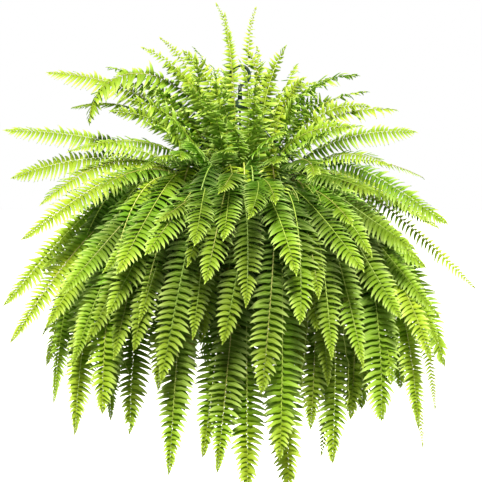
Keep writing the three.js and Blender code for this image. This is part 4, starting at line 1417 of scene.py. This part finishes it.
# Takes the cutter away, and with it the slivers that the cut leaves.
def cut(piece, cutter):
    pick(piece)
    modify("BOOLEAN", operation="DIFFERENCE", object=cutter)
    bpy.data.objects.remove(cutter)
    editAll()
    bpy.ops.mesh.remove_doubles(threshold=sliver)
    bpy.ops.mesh.dissolve_degenerate(threshold=sliver)
    bpy.ops.object.mode_set(mode="OBJECT")


def dress(piece, name, skins):
    pick(piece)
    piece.name = name
    piece.data.materials.clear()
    for skin in skins:
        piece.data.materials.append(skin)
    bpy.ops.object.shade_smooth()
    return piece


def modelPot():
    rises = [(z + rise, depth) for z in pot["beads"] for rise, depth in pot["bead"]]
    beads = [(wallAt(z) + depth, z) for z, depth in rises]
    piece = turnProfile(pot["foot"] + beads + pot["rim"] + pot["inside"], pot["sides"])
    modify("BEVEL", width=pot["edge"] * mm, **roundEdge)
    drainAngles = [2 * math.pi * (i + 0.5) / pot["drains"] for i in range(pot["drains"])]
    holes = [(*polar(pot["drainCircle"], angle), *pot["drainHole"]) for angle in drainAngles]
    holes += [(*polar(hangerLine["rimCircle"], angle), *pot["strandHole"]) for angle in strandAngles]
    cut(piece, postsAt(holes, 24))
    return dress(piece, "nurseryPot", [potSkin])


soilLook = {
    "sides": 110,
    "radius": 110.4,
    "low": [(12, -167), (78.5, -167), (82.5, -163), (110.4, -6)],
    "rings": 34,
    "innerRing": 2.5,
    "dome": (60, 0.5),  # radius and height
    "edgeDrop": 4,
    "roughness": 5.0,
    "lump": 0.014,  # size of the lumps, in metres
    "hole": (0, 9.2, 25),  # middle height, radius and length
    # count, size and roundness
    "grains": [(620, (1.5, 6.5), 1), (150, (1.5, 4.2), 2), (90, (4, 11), 1)],
    "corners": (0.75, 0.5),  # how far out a grain's corners are, least and how much more
    "squash": (0.45, 0.5),
    "grainsWithin": 108,
    "grainsClear": 11,  # of a crown's middle
}


def soilHeight(reach):
    radius, height = soilLook["dome"]
    drop = (reach - radius) / (soilLook["radius"] - radius)
    return height * (1 - reach / radius) if drop < 0 else -soilLook["edgeDrop"] * drop


# A lump one across, its corners pushed about.
def modelLump(subdivisions, draw):
    clearSelection()
    bpy.ops.mesh.primitive_ico_sphere_add(subdivisions=subdivisions, radius=0.5)
    piece = bpy.context.object
    corners = np.array([vertex.co for vertex in piece.data.vertices])
    corners *= np.array([[vary(soilLook["corners"], draw)] for _ in corners])
    faces = np.array([list(face.vertices) for face in piece.data.polygons])
    bpy.data.objects.remove(piece)
    return corners, faces


def scatter(bucket, shape, count, size, slot, draw):
    corners, faces = shape
    low, high = size
    for _ in range(count):
        reach, angle = soilLook["grainsWithin"] * next(draw) ** 0.5, 2 * math.pi * next(draw)
        spot = np.array([*polar(reach, angle), soilHeight(reach)])
        scale = low + (high - low) * next(draw) ** 2
        turn, squash = 2 * math.pi * next(draw), vary(soilLook["squash"], draw)
        tilt = next(draw) - 0.5
        crown = nearestCrown(spot)
        if math.hypot(spot[0] - crown["x"], spot[1] - crown["y"]) < soilLook["grainsClear"]:
            continue
        copy = corners * (scale, scale * (0.7 + 0.3 * squash), scale * squash)
        copy = np.column_stack([copy[:, 0], copy[:, 1], copy[:, 2] + tilt * copy[:, 0]])
        x = copy[:, 0] * math.cos(turn) - copy[:, 1] * math.sin(turn)
        y = copy[:, 0] * math.sin(turn) + copy[:, 1] * math.cos(turn)
        copy = np.column_stack([x, y, copy[:, 2] + scale * squash * 0.25]) + spot
        addCopy(bucket, copy, faces, np.zeros((len(copy), 3)), growthOf(len(copy), 0.5, 0.5, 0), slot)


def modelSoil():
    edge, inner, count = soilLook["radius"], soilLook["innerRing"], soilLook["rings"]
    reaches = [edge - (edge - inner) * i / (count - 1) for i in range(count)]
    rings = [(reach, soilHeight(reach)) for reach in reaches]
    piece = turnProfile(soilLook["low"] + rings, soilLook["sides"])
    pickVertices(piece, lambda co: co.z > soilZ - 5 * mm)
    bpy.ops.object.vertex_group_assign_new()
    bpy.ops.object.mode_set(mode="OBJECT")
    lumps = bpy.data.textures.new("soilLumps", "CLOUDS")
    lumps.noise_scale = soilLook["lump"]
    lumps.noise_depth = 4
    modify("DISPLACE", texture=lumps, strength=soilLook["roughness"] * mm, direction="Z",
           vertex_group=piece.vertex_groups[-1].name)
    modify("TRIANGULATE")
    cut(piece, postsAt([(crown["x"], crown["y"], *soilLook["hole"]) for crown in crowns], 20))
    skins = [soilSkin, perliteSkin, scaleSkin]  # the scales' brown is the bark's
    dress(piece, "pottingMix", skins)
    draw = drawFrom(2718)
    bucket = newBucket()
    for slot, (count, size, roundness) in enumerate(soilLook["grains"]):
        scatter(bucket, modelLump(roundness, draw), count, size, slot, draw)
    grains = makePiece("grains", bucket, skins)
    grains.data.polygons.foreach_set("use_smooth", [False] * len(grains.data.polygons))
    return joined([piece, grains])


hook = {
    "sides": 16,
    "turn": 1.62 * math.pi,
    "steps": 44,
    "stemRadius": 3.4,
    # radius and height above the hub's underside
    "hub": [(2, 0), (6.6, 0), (8, 1.4), (8, 5.6), (7.3, 6.2), (7.3, 8), (6.7, 8.6), (5.6, 12.6),
            (4.8, 14), (2, 14)],
    "edge": 0.3,
}
strand = {
    "radius": 1.45,
    "barb": (1.7, 2.8, 4.0, 6.6),  # radius below, above, length and middle height
    "collar": (2.7, 1.6, 13.3),  # radius, thickness and height
    "collarEdge": 0.5,
}


def modelHook():
    middle = (loopTop - hangerLine["loopRadius"]) * mm + soilZ
    reach = hangerLine["loopRadius"] * mm
    bar = barRadius * mm
    clearSelection()
    bpy.ops.mesh.primitive_circle_add(
        vertices=hook["sides"], radius=bar, fill_type="NGON",
        location=(0, 0, middle - reach), rotation=(0, math.pi / 2, 0),
    )
    bpy.ops.object.transform_apply()
    loop = bpy.context.object
    editAll()
    bpy.ops.mesh.spin(steps=hook["steps"], angle=hook["turn"], center=(0, 0, middle), axis=(0, 1, 0))
    turnOutwards()
    endX, endZ = polar(reach, -math.pi / 2 - hook["turn"])
    bpy.ops.mesh.primitive_uv_sphere_add(
        segments=hook["sides"], ring_count=10, radius=bar, location=(endX, 0, middle + endZ),
    )
    ball = bpy.context.object
    low = (hangerLine["hubTop"] - 2) * mm + soilZ
    high = middle - reach
    bpy.ops.mesh.primitive_cone_add(
        vertices=24, radius1=hook["stemRadius"] * mm, radius2=bar, depth=high - low,
        location=(0, 0, (low + high) / 2),
    )
    stem = bpy.context.object
    hub = turnProfile([(r, z + hangerLine["hubBottom"]) for r, z in hook["hub"]], 40)
    modify("BEVEL", width=hook["edge"] * mm, **roundEdge)
    return dress(joined([hub, loop, ball, stem]), "hangerHook", [hangerSkin])


def modelStrand(angle, number):
    clearSelection()
    bpy.ops.curve.primitive_bezier_curve_add()
    line = bpy.context.object
    line.data.splines.clear()
    points = throughKnots(strandKnots(angle), 14) * mm
    spline = line.data.splines.new("POLY")
    spline.points.add(len(points) - 1)
    for spot, (x, y, z) in zip(spline.points, points):
        spot.co = (x, y, z + soilZ, 1)
    line.data.dimensions = "3D"
    line.data.bevel_depth = strand["radius"] * mm
    line.data.bevel_resolution = 3
    line.data.use_fill_caps = True
    bpy.ops.object.convert(target="MESH")
    bar = bpy.context.object
    x, y = polar(hangerLine["rimCircle"] * mm, angle)
    low, high, length, height = strand["barb"]
    bpy.ops.mesh.primitive_cone_add(
        vertices=20, radius1=low * mm, radius2=high * mm, depth=length * mm,
        location=(x, y, height * mm + soilZ),
    )
    barb = bpy.context.object
    radius, thickness, height = strand["collar"]
    bpy.ops.mesh.primitive_cylinder_add(
        vertices=20, radius=radius * mm, depth=thickness * mm,
        location=(x, y, height * mm + soilZ),
    )
    collar = bpy.context.object
    modify("BEVEL", width=strand["collarEdge"] * mm, segments=2)
    return dress(joined([bar, barb, collar]), f"hangerStrand{number}", [hangerSkin])


parts = [
    (modelPot(), "pot", "pot"),
    (modelSoil(), "soil", "soil"),
    (modelHook(), "hanger_hook", "hanger"),
]
for number, angle in enumerate(strandAngles, 1):
    parts.append((modelStrand(angle, number), f"hanger_strand_{number}", "hanger"))
for piece, node, slot in parts:
    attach(piece, "root")
    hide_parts(node)
    print(f"{piece.name}: {len(piece.data.polygons)} faces")

studio = {
    "backdrop": 1.0,  # what the camera sees
    "ambient": 0.18,  # what lights the fern from all round
    "room": (0.84, 1, 0.7, 1),  # its colour
    "aim": (0, 0, -0.2),
    "sun": {"from": (0.0, -1.0, 1.15), "angle": 14.0, "power": 8.6, "color": (1.0, 0.985, 0.9)},
    "right": {"from": (2.0, -1.1, -0.4), "size": 1.5, "power": 26, "color": (0.99, 1.0, 0.88)},
    "left": {"from": (-2.0, -1.2, -0.4), "size": 1.5, "power": 14, "color": (0.99, 1.0, 0.88)},
    "back": {"from": (-0.4, 2.4, 0.7), "size": 2.5, "power": 45, "color": (1.0, 1.0, 0.92)},
    "floor": -1.05,
    "floorSize": 60,
    # for the light it throws up, and as seen
    "floorColors": ((0.12, 0.12, 0.12), (0.96, 0.96, 0.955)),
}


def addLamp(name, kind, settings):
    clearSelection()
    place = Vector(settings["from"])
    aim = (Vector(studio["aim"]) - place).to_track_quat("-Z", "Y").to_euler()
    bpy.ops.object.light_add(type=kind, location=place, rotation=aim)
    lamp = bpy.context.object
    lamp.name = name
    lamp.data.energy = settings["power"]
    lamp.data.color = settings["color"]
    return lamp


def lightStudio():
    world = bpy.data.worlds.new("studio")
    world.use_nodes = True
    nodes = Nodes(world.node_tree)
    seen = nodes.add("ShaderNodeLightPath").outputs["Is Camera Ray"]
    room = nodes.add("ShaderNodeBackground", inputs={0: studio["room"], 1: studio["ambient"]})
    backdrop = nodes.add("ShaderNodeBackground", inputs={0: (1, 1, 1, 1), 1: studio["backdrop"]})
    both = nodes.add("ShaderNodeMixShader", inputs={
        0: seen, 1: room.outputs[0], 2: backdrop.outputs[0],
    })
    nodes.finish(both.outputs[0], "ShaderNodeOutputWorld")
    bpy.context.scene.world = world
    addLamp("sun", "SUN", studio["sun"]).data.angle = math.radians(studio["sun"]["angle"])
    for name in ("right", "left", "back"):
        addLamp(name, "AREA", studio[name]).data.size = studio[name]["size"]
    bpy.context.scene.view_settings.view_transform = "Standard"


def layFloor():
    clearSelection()
    bpy.ops.mesh.primitive_plane_add(size=studio["floorSize"], location=(0, 0, studio["floor"]))
    floor = bpy.context.object
    floor.name = "floor"
    material, nodes = newMaterial("paleFloor")
    seen = nodes.add("ShaderNodeLightPath").outputs["Is Camera Ray"]
    pale = nodes.mix(seen, *studio["floorColors"])
    nodes.finish(nodes.surface(pale, 0.9, specular=0.1))
    floor.data.materials.append(material)


lightStudio()
layFloor()
print("studio ready")
